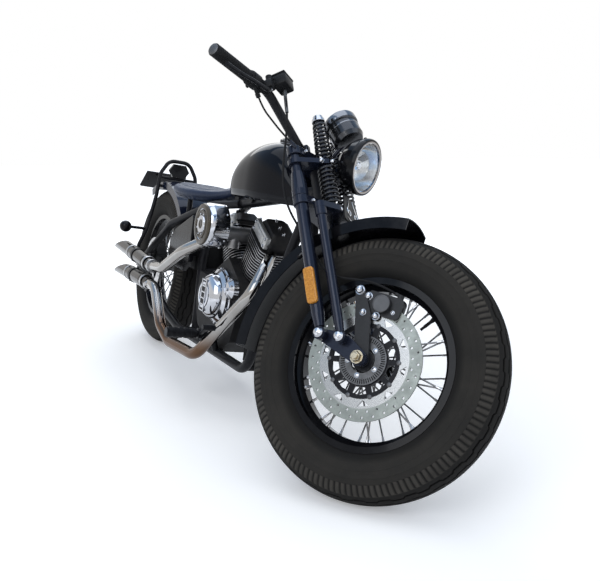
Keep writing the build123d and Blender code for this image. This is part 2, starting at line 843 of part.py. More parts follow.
# ---- rear axle and brakes ----------------------------------------------------------------
dropout_outside = dropout_spread + dropout_thickness / 2
dropout_inside = dropout_spread - dropout_thickness / 2
rear_arm_inside = rear_hub_half + 5
rear_arm_thickness = 6.0
rear_arm_outside = rear_arm_inside + rear_arm_thickness
with BuildPart() as rear_axle:
    add(
        pin(
            rear_centre - left * (dropout_outside + 16),
            rear_centre + left * (dropout_outside + 16),
            rear_axle_radius,
        )
    )
    for side in (1, -1):
        with BuildSketch(across(rear_centre + left * side * (dropout_outside + seat_gap), side)):
            RegularPolygon(17, 6)
        extrude(amount=11)
    for start, end in (
        (rear_hub_half + 1, dropout_inside - seat_gap),
        (-rear_arm_outside - seat_gap, seat_gap - dropout_inside),
    ):
        add(pin(rear_centre + left * start, rear_centre + left * end, 15))
chassis["rear_axle"] = rear_axle.part


def make_caliper(radius, offset, angle, length, depth, inside, outside):
    """A brake caliper on the right that straddles a disc's edge, seen from its wheel."""
    radial = Vector(cos(radians(angle)), 0, sin(radians(angle)))
    start = radial * radius - left * inside
    with BuildPart() as made:
        with BuildSketch(Plane(origin=start, x_dir=radial, z_dir=(0, -1, 0))):
            RectangleRounded(depth, length, 12)
        extrude(amount=outside - inside)
        fillet(made.faces().sort_by(Axis.Y)[-1].edges(), 5)
        slot = left * (disc_thickness / 2 + 1)
        middle = left * -offset
        add(pin(middle - slot, middle + slot, radius + 16), mode=Mode.SUBTRACT)
    return made.part


rear_caliper_angle = 42.0
rear_caliper_radius = rear_disc_radius - 12
rear_caliper = make_caliper(
    rear_caliper_radius, rear_disc_offset, rear_caliper_angle, 84, 52, 52, rear_arm_inside - seat_gap
)
with BuildPart() as rear_arm:
    add(
        link(
            [
                (0, 0, 19),
                (
                    rear_caliper_radius * cos(radians(rear_caliper_angle)),
                    rear_caliper_radius * sin(radians(rear_caliper_angle)),
                    20,
                ),
            ],
            -(rear_arm_inside + rear_arm_outside) / 2,
            rear_arm_thickness,
        )
    )
    add(pin((0, -130, 0), (0, 0, 0), rear_axle_radius + running_fit), mode=Mode.SUBTRACT)
chassis["rear_caliper"] = Compound(
    children=[rear_caliper.moved(to_rear), rear_arm.part.moved(to_rear)]
)

# ---- tank --------------------------------------------------------------------------------
tank_floor = backbone_height(792) + 8.5
# columns: x, half width, height of the crown above the floor
tank_sections = [
    (792, 50, 40),
    (830, 88, 114),
    (890, 108, 166),
    (970, 108, 182),
    (1040, 86, 164),
    (1090, 58, 114),
    (1128, 38, 69),
]
cap_x = 985.0
cap_seat = tank_floor + 177
cap_place = Plane(origin=(cap_x, 0, cap_seat - 12))
fuel_cap = turning([(0, 0), (20, 0), (20, 12), (31, 12), (31, 21), (26, 27), (0, 28)], cap_place)
chassis["fuel_cap"] = fuel_cap

with BuildPart() as fuel_tank:
    for x, half, rise in tank_sections:
        crown = tank_floor + rise
        drop = min(half * 0.94, (crown - tank_floor) * 0.62)
        shoulder = crown - drop
        with BuildSketch(Plane.YZ.offset(x)):
            with BuildLine():
                Polyline(
                    (-half, shoulder), (-half, tank_floor + 12), (12 - half, tank_floor),
                    (half - 12, tank_floor), (half, tank_floor + 12), (half, shoulder),
                )
                ThreePointArc((half, shoulder), (half * 0.72, crown - drop * 0.29), (0, crown))
                ThreePointArc((0, crown), (-half * 0.72, crown - drop * 0.29), (-half, shoulder))
            make_face()
    loft()
    tunnel_rise = backbone_radius + 3
    tunnel = [
        (750, tank_floor - 40),
        (750, backbone_height(750) + tunnel_rise),
        (1200, backbone_height(1200) + tunnel_rise),
        (1200, tank_floor - 40),
    ]
    add(plate(tunnel, 0, 2 * tunnel_half), mode=Mode.SUBTRACT)
    add(pin((cap_x, 0, cap_seat), (cap_x, 0, cap_seat + 40), 31), mode=Mode.SUBTRACT)
    add(fuel_cap, mode=Mode.SUBTRACT)
chassis["fuel_tank"] = fuel_tank.part

# ---- mudguards ---------------------------------------------------------------------------
front_guard_span = (61.0, 159.0)
guard_lip = 30.0


def make_mudguard(radius, half_width, span):
    """A cambered blade with turned-down lips, over an arc round the wheel's axle."""
    t = mudguard_thickness
    low = radius - guard_lip
    with BuildPart() as made:
        with BuildSketch(Plane.XY):
            with BuildLine():
                Polyline((low, half_width), (low, half_width - t), (radius - t, half_width - t))
                ThreePointArc(
                    (radius - t, half_width - t),
                    (radius - t + guard_camber, 0),
                    (radius - t, t - half_width),
                )
                Polyline(
                    (radius - t, t - half_width), (low, t - half_width), (low, -half_width),
                    (radius, -half_width),
                )
                ThreePointArc(
                    (radius, -half_width), (radius + guard_camber, 0), (radius, half_width)
                )
                Line((radius, half_width), (low, half_width))
            make_face()
        revolve(axis=Axis.Y, revolution_arc=span[1] - span[0])
    return made.part.rotate(Axis.Y, -span[1])


with BuildPart() as front_mudguard:
    add(make_mudguard(front_guard_radius, front_guard_half, front_guard_span))
    for side in (1, -1):
        add(pin((-128, side * (front_guard_half - 1), 314), (-86, side * 108, 306), 6))
        add(
            pin((rear_leg_setback, side * leg_spread, 250), (rear_leg_setback, side * leg_spread, 350),
                rear_leg_radius + seat_gap),
            mode=Mode.SUBTRACT,
        )
fork["front_mudguard"] = front_mudguard.part.solids().sort_by(SortBy.VOLUME)[-1]

# ---- tail --------------------------------------------------------------------------------
sissy_radius = 8.0
sissy_foot_y = dropout_outside + seat_gap + sissy_radius
sissy_half = [
    (-22, sissy_foot_y, axle_height + 34),
    (-22, sissy_foot_y, axle_height + 74),
    (-14, 114, 476),
    (-30, 87, 620),
    (-40, 78, 716),
    (-45, 44, 774),
]
sissy_run = sissy_half + [(x, -y, z) for x, y, z in reversed(sissy_half)]
sissy_bends = [30, 60, 60, 60, 45, 45, 60, 60, 60, 30]
lamp_bar_z = 700.0
lamp_bar_x = -40.0
lamp_thickness = 22.0
with BuildPart() as sissy_bar:
    add(tube(sissy_run, sissy_radius, sissy_bends))
    add(pin((lamp_bar_x, -78, lamp_bar_z), (lamp_bar_x, 78, lamp_bar_z), 6))
    for side in (1, -1):  # tabs that carry the mudguard
        add(pin((-34, side * 84, 664), (-34, side * (rear_guard_half + seat_gap), 664), 6))
chassis["sissy_bar"] = sissy_bar.part

rear_blade = make_mudguard(rear_guard_radius, rear_guard_half, rear_guard_span).moved(to_rear)
chassis["rear_mudguard"] = rear_blade

lamp_foot = lamp_bar_z + 6 + seat_gap
with BuildPart() as tail_lamp:
    with BuildSketch(Plane.YZ.offset(lamp_bar_x - lamp_thickness / 2)):
        with BuildLine():
            Polyline(
                (-26, lamp_foot), (26, lamp_foot), (44, lamp_foot + 28), (26, lamp_foot + 56),
                (-26, lamp_foot + 56), (-44, lamp_foot + 28), close=True,
            )
        make_face()
    extrude(amount=lamp_thickness)
    fillet(tail_lamp.faces().sort_by(Axis.X)[0].edges(), 6)

indicator_y = 204.0
indicator_x = -16.0
indicator_z = 476.0


def make_indicator(side):
    """A ball-shaped indicator on a short stalk from the hoop."""
    with BuildPart() as made:
        with Locations((indicator_x, side * indicator_y, indicator_z)):
            Sphere(24)
        add(
            pin((indicator_x, side * 118, indicator_z), (indicator_x, side * indicator_y, indicator_z), 6)
        )
        add(tube(sissy_run, sissy_radius + seat_gap, sissy_bends),
            mode=Mode.SUBTRACT)
    return made.part.solids().sort_by(SortBy.VOLUME)[-1]


chassis["rear_lamps"] = Compound(
    children=[tail_lamp.part, make_indicator(1), make_indicator(-1)]
)

plate_low = Vector(-292, 0, 648)
plate_high = Vector(-196, 0, 716)
with BuildPart() as number_plate:
    slope = plate_high - plate_low
    with BuildSketch(
        Plane(origin=(plate_low + plate_high) * 0.5, x_dir=(0, 1, 0), z_dir=slope.cross(left))
    ):
        RectangleRounded(184, slope.length, 10)
        with PolarLocations(70, 2):
            Circle(3.25, mode=Mode.SUBTRACT)
    extrude(amount=2, both=True)
    for side in (1, -1):
        add(
            pin(
                (lamp_bar_x - 6 - seat_gap, side * 58, lamp_bar_z),
                (plate_high.X - 14, side * 40, plate_high.Z - 14),
                5,
            )
        )
    add(
        pin((lamp_bar_x, -78, lamp_bar_z), (lamp_bar_x, 78, lamp_bar_z), 6 + seat_gap),
        mode=Mode.SUBTRACT,
    )
chassis["number_plate"] = number_plate.part

# ---- side boxes, pegs, pedals, regulator -------------------------------------------------
panel_inside = 96.0
panel_thickness = 16.0
panel = [(306, 384), (302, 480), (352, 520), (535, 590), (541, 420), (486, 376)]
box_front = 495.0


def make_panel(side):
    """A side cover under the upper rail."""
    with BuildPart() as made:
        add(plate(panel, side * (panel_inside + panel_thickness / 2), panel_thickness))
        fillet(made.edges().filter_by(Axis.Y), 14)
        fillet(made.faces().sort_by(Axis.Y)[-1 if side > 0 else 0].edges(), 5)
    return made.part


box_back = rear_guard_radius
box_half = 64.0  # inside the chain's upper run
with BuildPart() as battery_box:
    for low, high, half in ((386, 520, box_half), (436, 520, panel_inside - seat_gap)):
        with BuildSketch(Plane.XY.offset(low)):
            with Locations(((box_back + box_front) / 2, 0)):
                RectangleRounded(box_front - box_back, 2 * half, 12)
        extrude(amount=high - low)
    with BuildSketch(Plane.XY.offset(386)):
        with Locations((box_front, 0)):
            Rectangle(2 * (518 - 9 - seat_gap - box_front), 60)
    extrude(amount=10)
chassis["side_panels"] = Compound(children=[make_panel(1), make_panel(-1)])
chassis["battery_box"] = battery_box.part

peg_x = 870.0
peg_z = 232.0
peg_radius = 15.0
peg_bar_radius = 10.0


def make_footpeg(side):
    """A rubber-covered peg on a bar that rises from the lower rail."""
    with BuildPart() as made:
        bar = [(peg_x, side * 96, cradle_height), (peg_x, side * 116, peg_z), (peg_x, side * 176, peg_z)]
        add(tube(bar, peg_bar_radius, 18))
        add(pin((peg_x, side * 174, peg_z), (peg_x, side * 272, peg_z), peg_radius))
        for n in range(5):
            y = side * (184 + 18 * n)
            add(pin((peg_x, y, peg_z), (peg_x, y + side * 10, peg_z), peg_radius + 2))
        rail = pin(cradle[3], cradle[4], tube_radius)
        add(rail if side > 0 else mirrored(rail), mode=Mode.SUBTRACT)
    return made.part.solids().sort_by(SortBy.VOLUME)[-1]




def make_pedal(side):
    """A foot lever that turns on the peg's bar, with a round tread."""
    with BuildPart() as made:
        add(pin((peg_x, side * 154, peg_z), (peg_x, side * 168, peg_z), 17))
        arm = [(peg_x + 10, side * 161, peg_z + 2), (950, side * 176, 262), (1000, side * 182, 276)]
        add(tube(arm, 6, 40))
        add(pin((1000, side * 166, 280), (1000, side * 206, 280), 9))
        add(
            pin((peg_x, side * 150, peg_z), (peg_x, side * 172, peg_z), peg_bar_radius + running_fit),
            mode=Mode.SUBTRACT,
        )
    return made.part


chassis["foot_controls"] = Compound(
    children=[make_footpeg(1), make_footpeg(-1), make_pedal(1), make_pedal(-1)]
)

with BuildPart() as regulator:
    with BuildSketch(Plane.XY.offset(cradle_height + 11 + seat_gap)):
        with Locations((1026, 0)):
            RectangleRounded(76, 116, 10)
    extrude(amount=62)
    for n in range(5):
        with BuildSketch(Plane.XZ.offset(-44 + 22 * n)):
            with Locations((1064, cradle_height + 42)):
                Rectangle(16, 50)
        extrude(amount=5)
chassis["regulator_box"] = regulator.part

# ---- exhaust bracket ---------------------------------------------------------------------
hanger_x = 205.0
hanger_y = 150.0
with BuildPart() as hanger:
    add(plate([(190, 244), (190, 396), (220, 396), (220, 244)], -hanger_y, 5))
    add(pin((hanger_x, -118, 261), (hanger_x, -hanger_y, 261), 12))
    for start, tip in (upper_muffler, lower_muffler):
        along = (tip - start).normalized()
        middle = start + along * ((hanger_x - start.X) / along.X)
        add(pin(middle, middle + left * (-hanger_y - middle.Y), 9))
        add(pin(middle - along * 9, middle + along * 9, muffler_radius + seat_gap + 2.5))
    for start, tip in (upper_muffler, lower_muffler):
        along = (tip - start).normalized()
        middle = start + along * ((hanger_x - start.X) / along.X)
        add(pin(middle - along * 30, middle + along * 30, muffler_radius + seat_gap), mode=Mode.SUBTRACT)
    rail = [(x, -y, z) for x, y, z in cradle[5:7]]
    add(pin(rail[0], rail[1], tube_radius + seat_gap), mode=Mode.SUBTRACT)
chassis["exhaust_bracket"] = hanger.part.solids().sort_by(SortBy.VOLUME)[-1]

# ---- side stand --------------------------------------------------------------------------
stand_foot_x = 690.0
stand_foot_y = 290.0
stand_foot = Vector(stand_foot_x, stand_foot_y, floor_under(stand_foot_x, stand_foot_y))
foot_plate = Plane(origin=stand_foot, x_dir=floor_forward, z_dir=floor_up)
with BuildPart() as side_stand:
    add(pin(stand_pivot - stand_hinge * stand_boss_half, stand_pivot + stand_hinge * stand_boss_half,
            stand_boss_radius))
    add(pin(stand_pivot, stand_foot + floor_up * 8, 9))
    with BuildSketch(foot_plate):
        RectangleRounded(66, 40, 14)
    extrude(amount=7)
    add(pin(stand_pivot - stand_hinge * 20, stand_pivot + stand_hinge * 20,
            stand_pin_radius + running_fit), mode=Mode.SUBTRACT)
chassis["side_stand"] = side_stand.part

# ---- fork: yokes, legs, springs ----------------------------------------------------------
low_hub = 32.0
low_lobe = 22.0
top_hub = 27.0
top_lobe = 20.0
rod_radius = 7.0
riser_height = top_yoke_height + 63
bar_foot = riser_height - 17
bar_run = [
    (-127, -405, bar_height + 3),
    (-97, -195, bar_height),
    (-80, -70, bar_foot),
    (-80, 70, bar_foot),
    (-97, 195, bar_height),
    (-127, 405, bar_height + 3),
]
bar_bends = [60, 50, 50, 60]

lamp_centre = Vector(75.9, 0, top_yoke_height - 42)
lamp_forward = Vector(cos(radians(rake)), 0, -sin(radians(rake)))
lamp_radius = 75.0
lamp_place = Plane(origin=lamp_centre, x_dir=(0, 1, 0), z_dir=lamp_forward)
lamp_outside = [(0, -80.5), (15, -80), (42, -68), (60, -52), (71, -35), (75, -18), (75, 0)]
lamp_inside = [(66, 0), (66, -14), (64, -32), (54, -48), (37, -62), (12, -73), (0, -74)]
gauge_tilt = 17.0
gauge_up = Vector(-sin(radians(gauge_tilt)), 0, cos(radians(gauge_tilt)))
gauge_height = 78.0
gauge_foot = Vector(43.7, 0, top_yoke_height + 52.7)
gauge_place = Plane(origin=gauge_foot, x_dir=(0, 1, 0), z_dir=gauge_up)
gauge = turning(
    [(0, 0), (38, 0), (44, 12), (44, 54), (48, 56), (48, gauge_height - 4), (45, gauge_height),
     (0, gauge_height)],
    gauge_place,
)
lamp_solid = turning(lamp_outside + [(0, 0)], lamp_place)


def make_yoke(height, hub, lobe, bore):
    """A forged plate from the stem to both rigid legs."""
    with BuildPart() as made:
        with BuildSketch(Plane.XY.offset(height)) as outline:
            with Locations((-fork_offset, 0)):
                Circle(hub)
            with Locations((rear_leg_setback, leg_spread), (rear_leg_setback, -leg_spread)):
                Circle(lobe)
            make_hull(outline.edges())
        extrude(amount=yoke_thickness)
        fillet(made.edges().filter_by(Axis.Z, reverse=True), 2)
        for side in (1, -1):
            leg = Vector(rear_leg_setback, side * leg_spread, height)
            add(
                pin(leg - Vector(0, 0, 5), leg + Vector(0, 0, yoke_thickness + 5), bore + running_fit),
                mode=Mode.SUBTRACT,
            )
    return made.part


cable_route = [(-98, -190, 660), (-88, -164, 634)]
cable_foot = Vector(-76, -142, 612)  # in a guide on the top yoke
guide_way = (cable_foot - Vector(*cable_route[-1])).normalized()
with BuildPart() as fork_yokes:
    add(pin(cable_foot, cable_foot + guide_way * 22, 5))
    add(make_yoke(low_yoke_height, low_hub, low_lobe, rear_leg_radius))
    add(make_yoke(top_yoke_height, top_hub, top_lobe, rear_leg_top_radius))
    stem_foot = Vector(-fork_offset, 0, low_yoke_height + 1)
    add(pin(stem_foot, stem_foot + Vector(0, 0, top_yoke_height + yoke_thickness + 6 - low_yoke_height),
            stem_radius))
    for side in (1, -1):  # handlebar risers
        with BuildSketch(Plane.XY.offset(top_yoke_height + yoke_thickness - 2)):
            with Locations((-80, side * 42)):
                RectangleRounded(32, 24, 6)
        extrude(amount=riser_height - top_yoke_height - yoke_thickness + 2)
    add(tube(bar_run, handlebar_radius + running_fit, bar_bends), mode=Mode.SUBTRACT)
    arm_root = top_yoke_height + yoke_thickness / 2
    add(tube([(-45, 0, arm_root + 2), (-8, 0, arm_root + 20), (38, 0, arm_root + 51)], 6, 40))  # gauge's
    add(gauge, mode=Mode.SUBTRACT)

with BuildPart() as spring_bracket:
    with BuildSketch(Plane.XY.offset(bracket_height)):
        with Locations((-19, 0)):
            Rectangle(18, 2 * spring_spread)
        for side in (1, -1):
            with BuildSketch(mode=Mode.PRIVATE) as arm:
                with Locations((spring_setback, side * spring_spread)):
                    Circle(17)
                with Locations((rear_leg_setback, side * leg_spread)):
                    Circle(low_lobe)
                make_hull(arm.edges())
            add(arm.sketch)
    extrude(amount=bracket_thickness)
    with BuildSketch(Plane.XY.offset(bracket_height + 1)):  # lug that holds the headlight
        with Locations((-4, 0)):
            Rectangle(26, 26)
    extrude(amount=bracket_thickness - 2)
    add(lamp_solid, mode=Mode.SUBTRACT)
    for side in (1, -1):
        for x, y, radius in (
            (rear_leg_setback, leg_spread, rear_leg_top_radius + running_fit),
            (spring_setback, spring_spread, rod_radius + seat_gap),
        ):
            foot = Vector(x, side * y, bracket_height - 5)
            add(pin(foot, foot + Vector(0, 0, bracket_thickness + 10), radius), mode=Mode.SUBTRACT)
bracket_part = spring_bracket.part.solids().sort_by(SortBy.VOLUME)[-1]
fork["fork_yokes"] = Compound(children=[fork_yokes.part, bracket_part])

leg_eye_inside = rocker_inside + rocker_thickness + seat_gap
leg_eye_outside = 124.0
pivot_radius = 7.0
leg_profile = [
    (0, 92),
    (13, 96),
    (rear_leg_radius, 130),
    (rear_leg_radius, low_yoke_height + yoke_thickness + seat_gap),
    (22, low_yoke_height + yoke_thickness + seat_gap),
    (22, low_yoke_height + 42),
    (rear_leg_top_radius + 3, top_yoke_height - 54),
    (rear_leg_top_radius, top_yoke_height - 52),
    (rear_leg_top_radius, top_yoke_height + yoke_thickness),
    (0, top_yoke_height + yoke_thickness),
]


def make_rigid_leg(side):
    """A rear fork leg with its pivot eye at the foot and a cone above the low yoke."""
    with BuildPart() as made:
        add(turning(leg_profile, Plane(origin=(rear_leg_setback, side * leg_spread, 0))))
        foot = Vector(rear_leg_setback, 0, rear_leg_foot)
        add(pin(foot + left * side * leg_eye_inside, foot + left * side * leg_eye_outside, 16))
        add(
            pin(foot + left * side * 90, foot + left * side * 140, pivot_radius + running_fit),
            mode=Mode.SUBTRACT,
        )
    return made.part


fork["rigid_legs"] = Compound(children=[make_rigid_leg(1), make_rigid_leg(-1)])

rod_top = top_yoke_height + 124
with BuildPart() as spring_fork:
    for side in (1, -1):
        foot = Vector(spring_leg_setback, side * leg_spread, 0)
        profile = [
            (0, 66), (10, 70), (spring_leg_radius, 96), (spring_leg_radius, crossbar_height - 22),
            (spring_leg_radius + 3, crossbar_height - 20), (spring_leg_radius + 3, crossbar_height + 1),
            (0, crossbar_height + 1),
        ]
        add(turning(profile, Plane(origin=foot)))
        eye = Vector(spring_leg_setback, 0, spring_leg_foot)
        add(pin(eye + left * side * leg_eye_inside, eye + left * side * leg_eye_outside, 15))
    with BuildSketch(Plane.XY.offset(crossbar_height)) as crossbar:
        for side in (1, -1):
            with Locations((spring_leg_setback, side * leg_spread)):
                Circle(16)
            with Locations((spring_setback, side * spring_spread)):
                Circle(26)
        make_hull(crossbar.edges())
    extrude(amount=crossbar_thickness)
    for side in (1, -1):
        rod = Vector(spring_setback, side * spring_spread, crossbar_height + 2)
        add(pin(rod, (rod.X, rod.Y, rod_top), rod_radius))
        eye = Vector(spring_leg_setback, 0, spring_leg_foot)
        add(
            pin(eye + left * side * 90, eye + left * side * 140, pivot_radius + running_fit),
            mode=Mode.SUBTRACT,
        )
fork["spring_fork"] = spring_fork.part

coil_radius = 4.2
lower_coils = 9
upper_coils = 9
lower_spring = (crossbar_height + crossbar_thickness + seat_gap, bracket_height - seat_gap)
upper_spring = (bracket_height + bracket_thickness + seat_gap, rod_top - 14)
lower_spring_radii = (25.0, 25.0)  # outside, at the foot and at the top
upper_spring_radii = (23.0, 19.0)


def make_spring(span, radii, coils, side):
    """A coil spring: a sleeve round its rod with one ridge for each coil."""
    low, high = span
    bore = rod_radius + seat_gap
    pitch_length = (high - low) / coils
    profile = [(bore, low)]
    for n in range(coils):
        outer = radii[0] + (radii[1] - radii[0]) * n / (coils - 1)
        base = low + n * pitch_length
        inner = outer - 2 * coil_radius
        profile += [
            (inner, base),
            (inner, base + pitch_length / 2 - coil_radius),
            (outer - coil_radius * 0.4, base + pitch_length / 2 - coil_radius * 0.6),
            (outer, base + pitch_length / 2),
            (outer - coil_radius * 0.4, base + pitch_length / 2 + coil_radius * 0.6),
            (inner, base + pitch_length / 2 + coil_radius),
        ]
    profile += [(radii[1] - 2 * coil_radius, high), (bore, high)]
    return turning(profile, Plane(origin=(spring_setback, side * spring_spread, 0)))


cap_foot = upper_spring[1] + seat_gap
cap_profile = [
    (0, rod_top + seat_gap), (rod_radius + seat_gap, rod_top + seat_gap), (rod_radius + seat_gap, cap_foot),
    (18, cap_foot), (18, cap_foot + 8), (14, cap_foot + 18), (6, cap_foot + 22), (0, cap_foot + 22),
]
springs = []
for side in (1, -1):
    springs.append(make_spring(lower_spring, lower_spring_radii, lower_coils, side))
    springs.append(make_spring(upper_spring, upper_spring_radii, upper_coils, side))
    springs.append(
        turning(cap_profile, Plane(origin=(spring_setback, side * spring_spread, 0)))
    )
fork["fork_springs"] = Compound(children=springs)

# ---- fork: rockers, axle, brake ----------------------------------------------------------
rocker_middle = rocker_inside + rocker_thickness / 2
pivots = [(rear_leg_setback, rear_leg_foot), (spring_leg_setback, spring_leg_foot)]


def make_rocker(side):
    """The link from the rigid leg past the spring leg to the axle."""
    with BuildPart() as made:
        eyes = [(x, z, 15) for x, z in pivots] + [(0, 0, 19)]
        add(link(eyes, side * rocker_middle, rocker_thickness))
        for x, z in pivots:
            add(pin((x, side * 80, z), (x, side * 110, z), pivot_radius + running_fit),
                mode=Mode.SUBTRACT)
        add(pin((0, side * 80, 0), (0, side * 110, 0), front_axle_radius + running_fit),
            mode=Mode.SUBTRACT)
    return made.part


fork["rockers"] = Compound(children=[make_rocker(1), make_rocker(-1)])


def make_pivot_bolt(x, z, side):
    """A pivot bolt: a flat head inside the rocker and a domed nut outside the leg."""
    place = Plane(origin=(x, 0, z), z_dir=(0, side, 0))
    nut = leg_eye_outside + seat_gap
    inner = rocker_inside - seat_gap
    return turning(
        [
            (0, inner - 4), (11, inner - 4), (11, inner), (pivot_radius, inner), (pivot_radius, nut),
            (12.5, nut), (12.5, nut + 6), (9, nut + 11), (4, nut + 13), (0, nut + 13.4),
        ],
        place,
    )


arm_inside = 78.5
arm_thickness = 7.5
with BuildPart() as front_axle:
    add(pin((0, -122, 0), (0, 122, 0), front_axle_radius))
    add(pin((0, front_hub_half + 1, 0), (0, rocker_inside - seat_gap, 0), 14))
    add(pin((0, -arm_inside - arm_thickness - seat_gap, 0), (0, seat_gap - rocker_inside, 0), 14))
    for side in (1, -1):
        with BuildSketch(across((0, side * (rocker_inside + rocker_thickness + seat_gap), 0), side)):
            RegularPolygon(16, 6)
        extrude(amount=12)
fork["fork_pivots"] = Compound(
    children=[front_axle.part]
    + [make_pivot_bolt(x, z, side) for x, z in pivots for side in (1, -1)]
)

caliper_angle = 57.6
caliper_radius = front_disc_radius - 5
caliper_cap_radius = 22.0
caliper_outside = arm_inside - seat_gap
caliper_length = 96.0
caliper_depth = 54.0
radial = Vector(cos(radians(caliper_angle)), 0, sin(radians(caliper_angle)))
onward = Vector(radial.Z, 0, -radial.X)
banjo = radial * (caliper_radius + caliper_depth / 2 + 6) + onward * 30 - left * 64
hose_route = [
    (74.6, -74, 174),
    (28, -82, 198),
    (-18, -86, 214),
    (-56, -87, 244),
    (-74, -86, 292),
    (-84, -87, 340),
    (-104, -97, 380),
    (-116, -114, 424),
    (-120, -126, 468),
    (-114, -136, 514),
    (-100, -146, 560),
    (-82, -156, 606),
    (-64, -170, 652),
    (-54, -180, 700),
]
hose_foot = banjo + (Vector(*hose_route[0]) - banjo).normalized() * 16
with BuildPart() as front_caliper:
    add(
        make_caliper(
            caliper_radius, front_disc_offset, caliper_angle, caliper_length, caliper_depth, 48,
            caliper_outside,
        )
    )
    across_x = caliper_radius * cos(radians(caliper_angle))
    across_z = caliper_radius * sin(radians(caliper_angle))
    cap_inner = (across_x, 2 - caliper_outside, across_z)
    cap_outer = (across_x, -14 - caliper_outside, across_z)
    add(pin(cap_inner, cap_outer, caliper_cap_radius))
    add(pin(banjo - radial * 9, banjo + radial * 4, 8))
    add(pin(banjo, hose_foot, 4.5))
with BuildPart() as caliper_arm:
    add(
        link([(0, 0, 18), (24, 106, 19), (28, 169, 12)], -arm_inside - arm_thickness / 2, arm_thickness)
    )
    add(pin((0, -100, 0), (0, -70, 0), front_axle_radius + running_fit), mode=Mode.SUBTRACT)
fork["front_caliper"] = Compound(children=[front_caliper.part, caliper_arm.part])

# ---- handlebar and what it carries -------------------------------------------------------
fork["handlebar"] = tube(bar_run, handlebar_radius, bar_bends)
bar_end = Vector(*bar_run[-1])
bar_bend = Vector(*bar_run[-2])
bar_out = (bar_end - bar_bend).normalized()
grip_start = 78.0  # from the bend
grip_cap = 6.0
bar_straight = (bar_end - bar_bend).length

with BuildPart() as grip:
    add(pin(bar_bend + bar_out * grip_start, bar_end + bar_out * grip_cap, grip_radius))
    add(
        pin(bar_bend + bar_out * (grip_start - 1), bar_end + bar_out * seat_gap,
            handlebar_radius + running_fit),
        mode=Mode.SUBTRACT,
    )
fork["grips"] = Compound(children=[grip.part, mirrored(grip.part)])

reservoir_low = bar_height - 6
cable_boss_root = bar_bend + bar_out * 62 - Vector(0, 0, 15)
cable_boss_end = cable_boss_root - Vector(0, 0.6, 0.8) * 34
mirror_boss = Vector(-76, 222, bar_height + 9)
mirror_boss_height = 14.0
mirror_hole_radius = 5.0
mirror_hole_depth = 15.0


def make_controls(reservoir):
    """Switch housing, lever perch and lever round the left bar end; the brake adds a reservoir."""
    with BuildPart() as made:
        add(pin(bar_bend + bar_out * 47, bar_bend + bar_out * (grip_start - seat_gap), 21))
        add(pin(bar_bend + bar_out * 26, bar_bend + bar_out * 48, 18))
        with BuildSketch(Plane.XY.offset(bar_height - 10)):
            with Locations((-80, 222)):
                RectangleRounded(48, 30, 6)
        extrude(amount=20)
        add(tube([(-66, 222, bar_height), (-64, 300, bar_height - 4), (-84, 392, bar_height - 8)], 6, 200))
        add(pin(mirror_boss - Vector(0, 0, 5), mirror_boss + Vector(0, 0, mirror_boss_height), 9))
        if reservoir:
            add(pin(cable_boss_root, cable_boss_end, 5))
            with BuildSketch(Plane.XY.offset(reservoir_low)):
                with Locations((-54, 186)):
                    RectangleRounded(40, 54, 6)
            extrude(amount=34)
        top = mirror_boss + Vector(0, 0, mirror_boss_height)
        add(pin(top - Vector(0, 0, mirror_hole_depth), top + Vector(0, 0, 2), mirror_hole_radius),
            mode=Mode.SUBTRACT)
        add(tube(bar_run, handlebar_radius + running_fit, bar_bends), mode=Mode.SUBTRACT)
    return made.part


fork["bar_controls"] = Compound(
    children=[make_controls(False), mirrored(make_controls(True))]
)

# ---- cords: plain solids along chosen routes ---------------------------------------------
hose_radius = 3.0
cable_radius = 2.5
hose_top = (-54, -180, reservoir_low)
fork["brake_hose"] = cord([hose_foot, *hose_route, hose_top], hose_radius)
cable_top = Vector(cable_boss_end.X, -cable_boss_end.Y, cable_boss_end.Z)
cable_out = cable_top + Vector(0, 0.6, -0.8) * 30
fork["throttle_cable"] = cord([cable_top, cable_out, *cable_route, cable_foot], cable_radius)

fork["headlight"] = turning(lamp_outside + lamp_inside, lamp_place)
fork["headlight_lens"] = turning(
    [(0, -4), (66 - seat_gap, -6), (66 - seat_gap, -1), (50, 4), (28, 7), (0, 8)], lamp_place
)
fork["speedometer"] = gauge

# ---- reflectors and the panel between the legs -------------------------------------------
reflector_low = 153.0
reflector_high = 248.0


def make_reflector(side):
    """A rounded bar of a reflector on the outside of a rigid leg."""
    face = leg_spread + rear_leg_radius + seat_gap
    middle = (rear_leg_setback, side * face, (reflector_low + reflector_high) / 2)
    with BuildPart() as made:
        with BuildSketch(across(middle, side)):
            RectangleRounded(28, reflector_high - reflector_low, 8)
        extrude(amount=8)
        fillet(made.faces().sort_by(Axis.Y)[-1 if side > 0 else 0].edges(), 3)
    return made.part


fork["reflectors"] = Compound(children=[make_reflector(1), make_reflector(-1)])

panel_face = spring_setback + 26 + seat_gap
with BuildPart() as front_panel:
    with BuildSketch(Plane.YZ.offset(panel_face)):
        with BuildLine():
            Polyline(
                (-38, crossbar_height + 61), (38, crossbar_height + 61),
                (62, crossbar_height - 21), (-62, crossbar_height - 21), close=True,
            )
        make_face()
    extrude(amount=4)
    fillet(front_panel.edges().filter_by(Axis.X), 8)
fork["front_panel"] = front_panel.part

# ---- placing and writing -----------------------------------------------------------------
steer = (
    Location(steering_foot)
    * Location(Plane(origin=(0, 0, 0), x_dir=fork_forward, z_dir=fork_up))
    * Location((0, 0, 0), (0, 0, steer_lock))
    * Location((fork_offset, 0, 0))
)
parked = floor.location.inverse()
placed = {name: part.moved(parked) for name, part in chassis.items()}
placed.update({name: part.moved(parked * steer) for name, part in fork.items()})

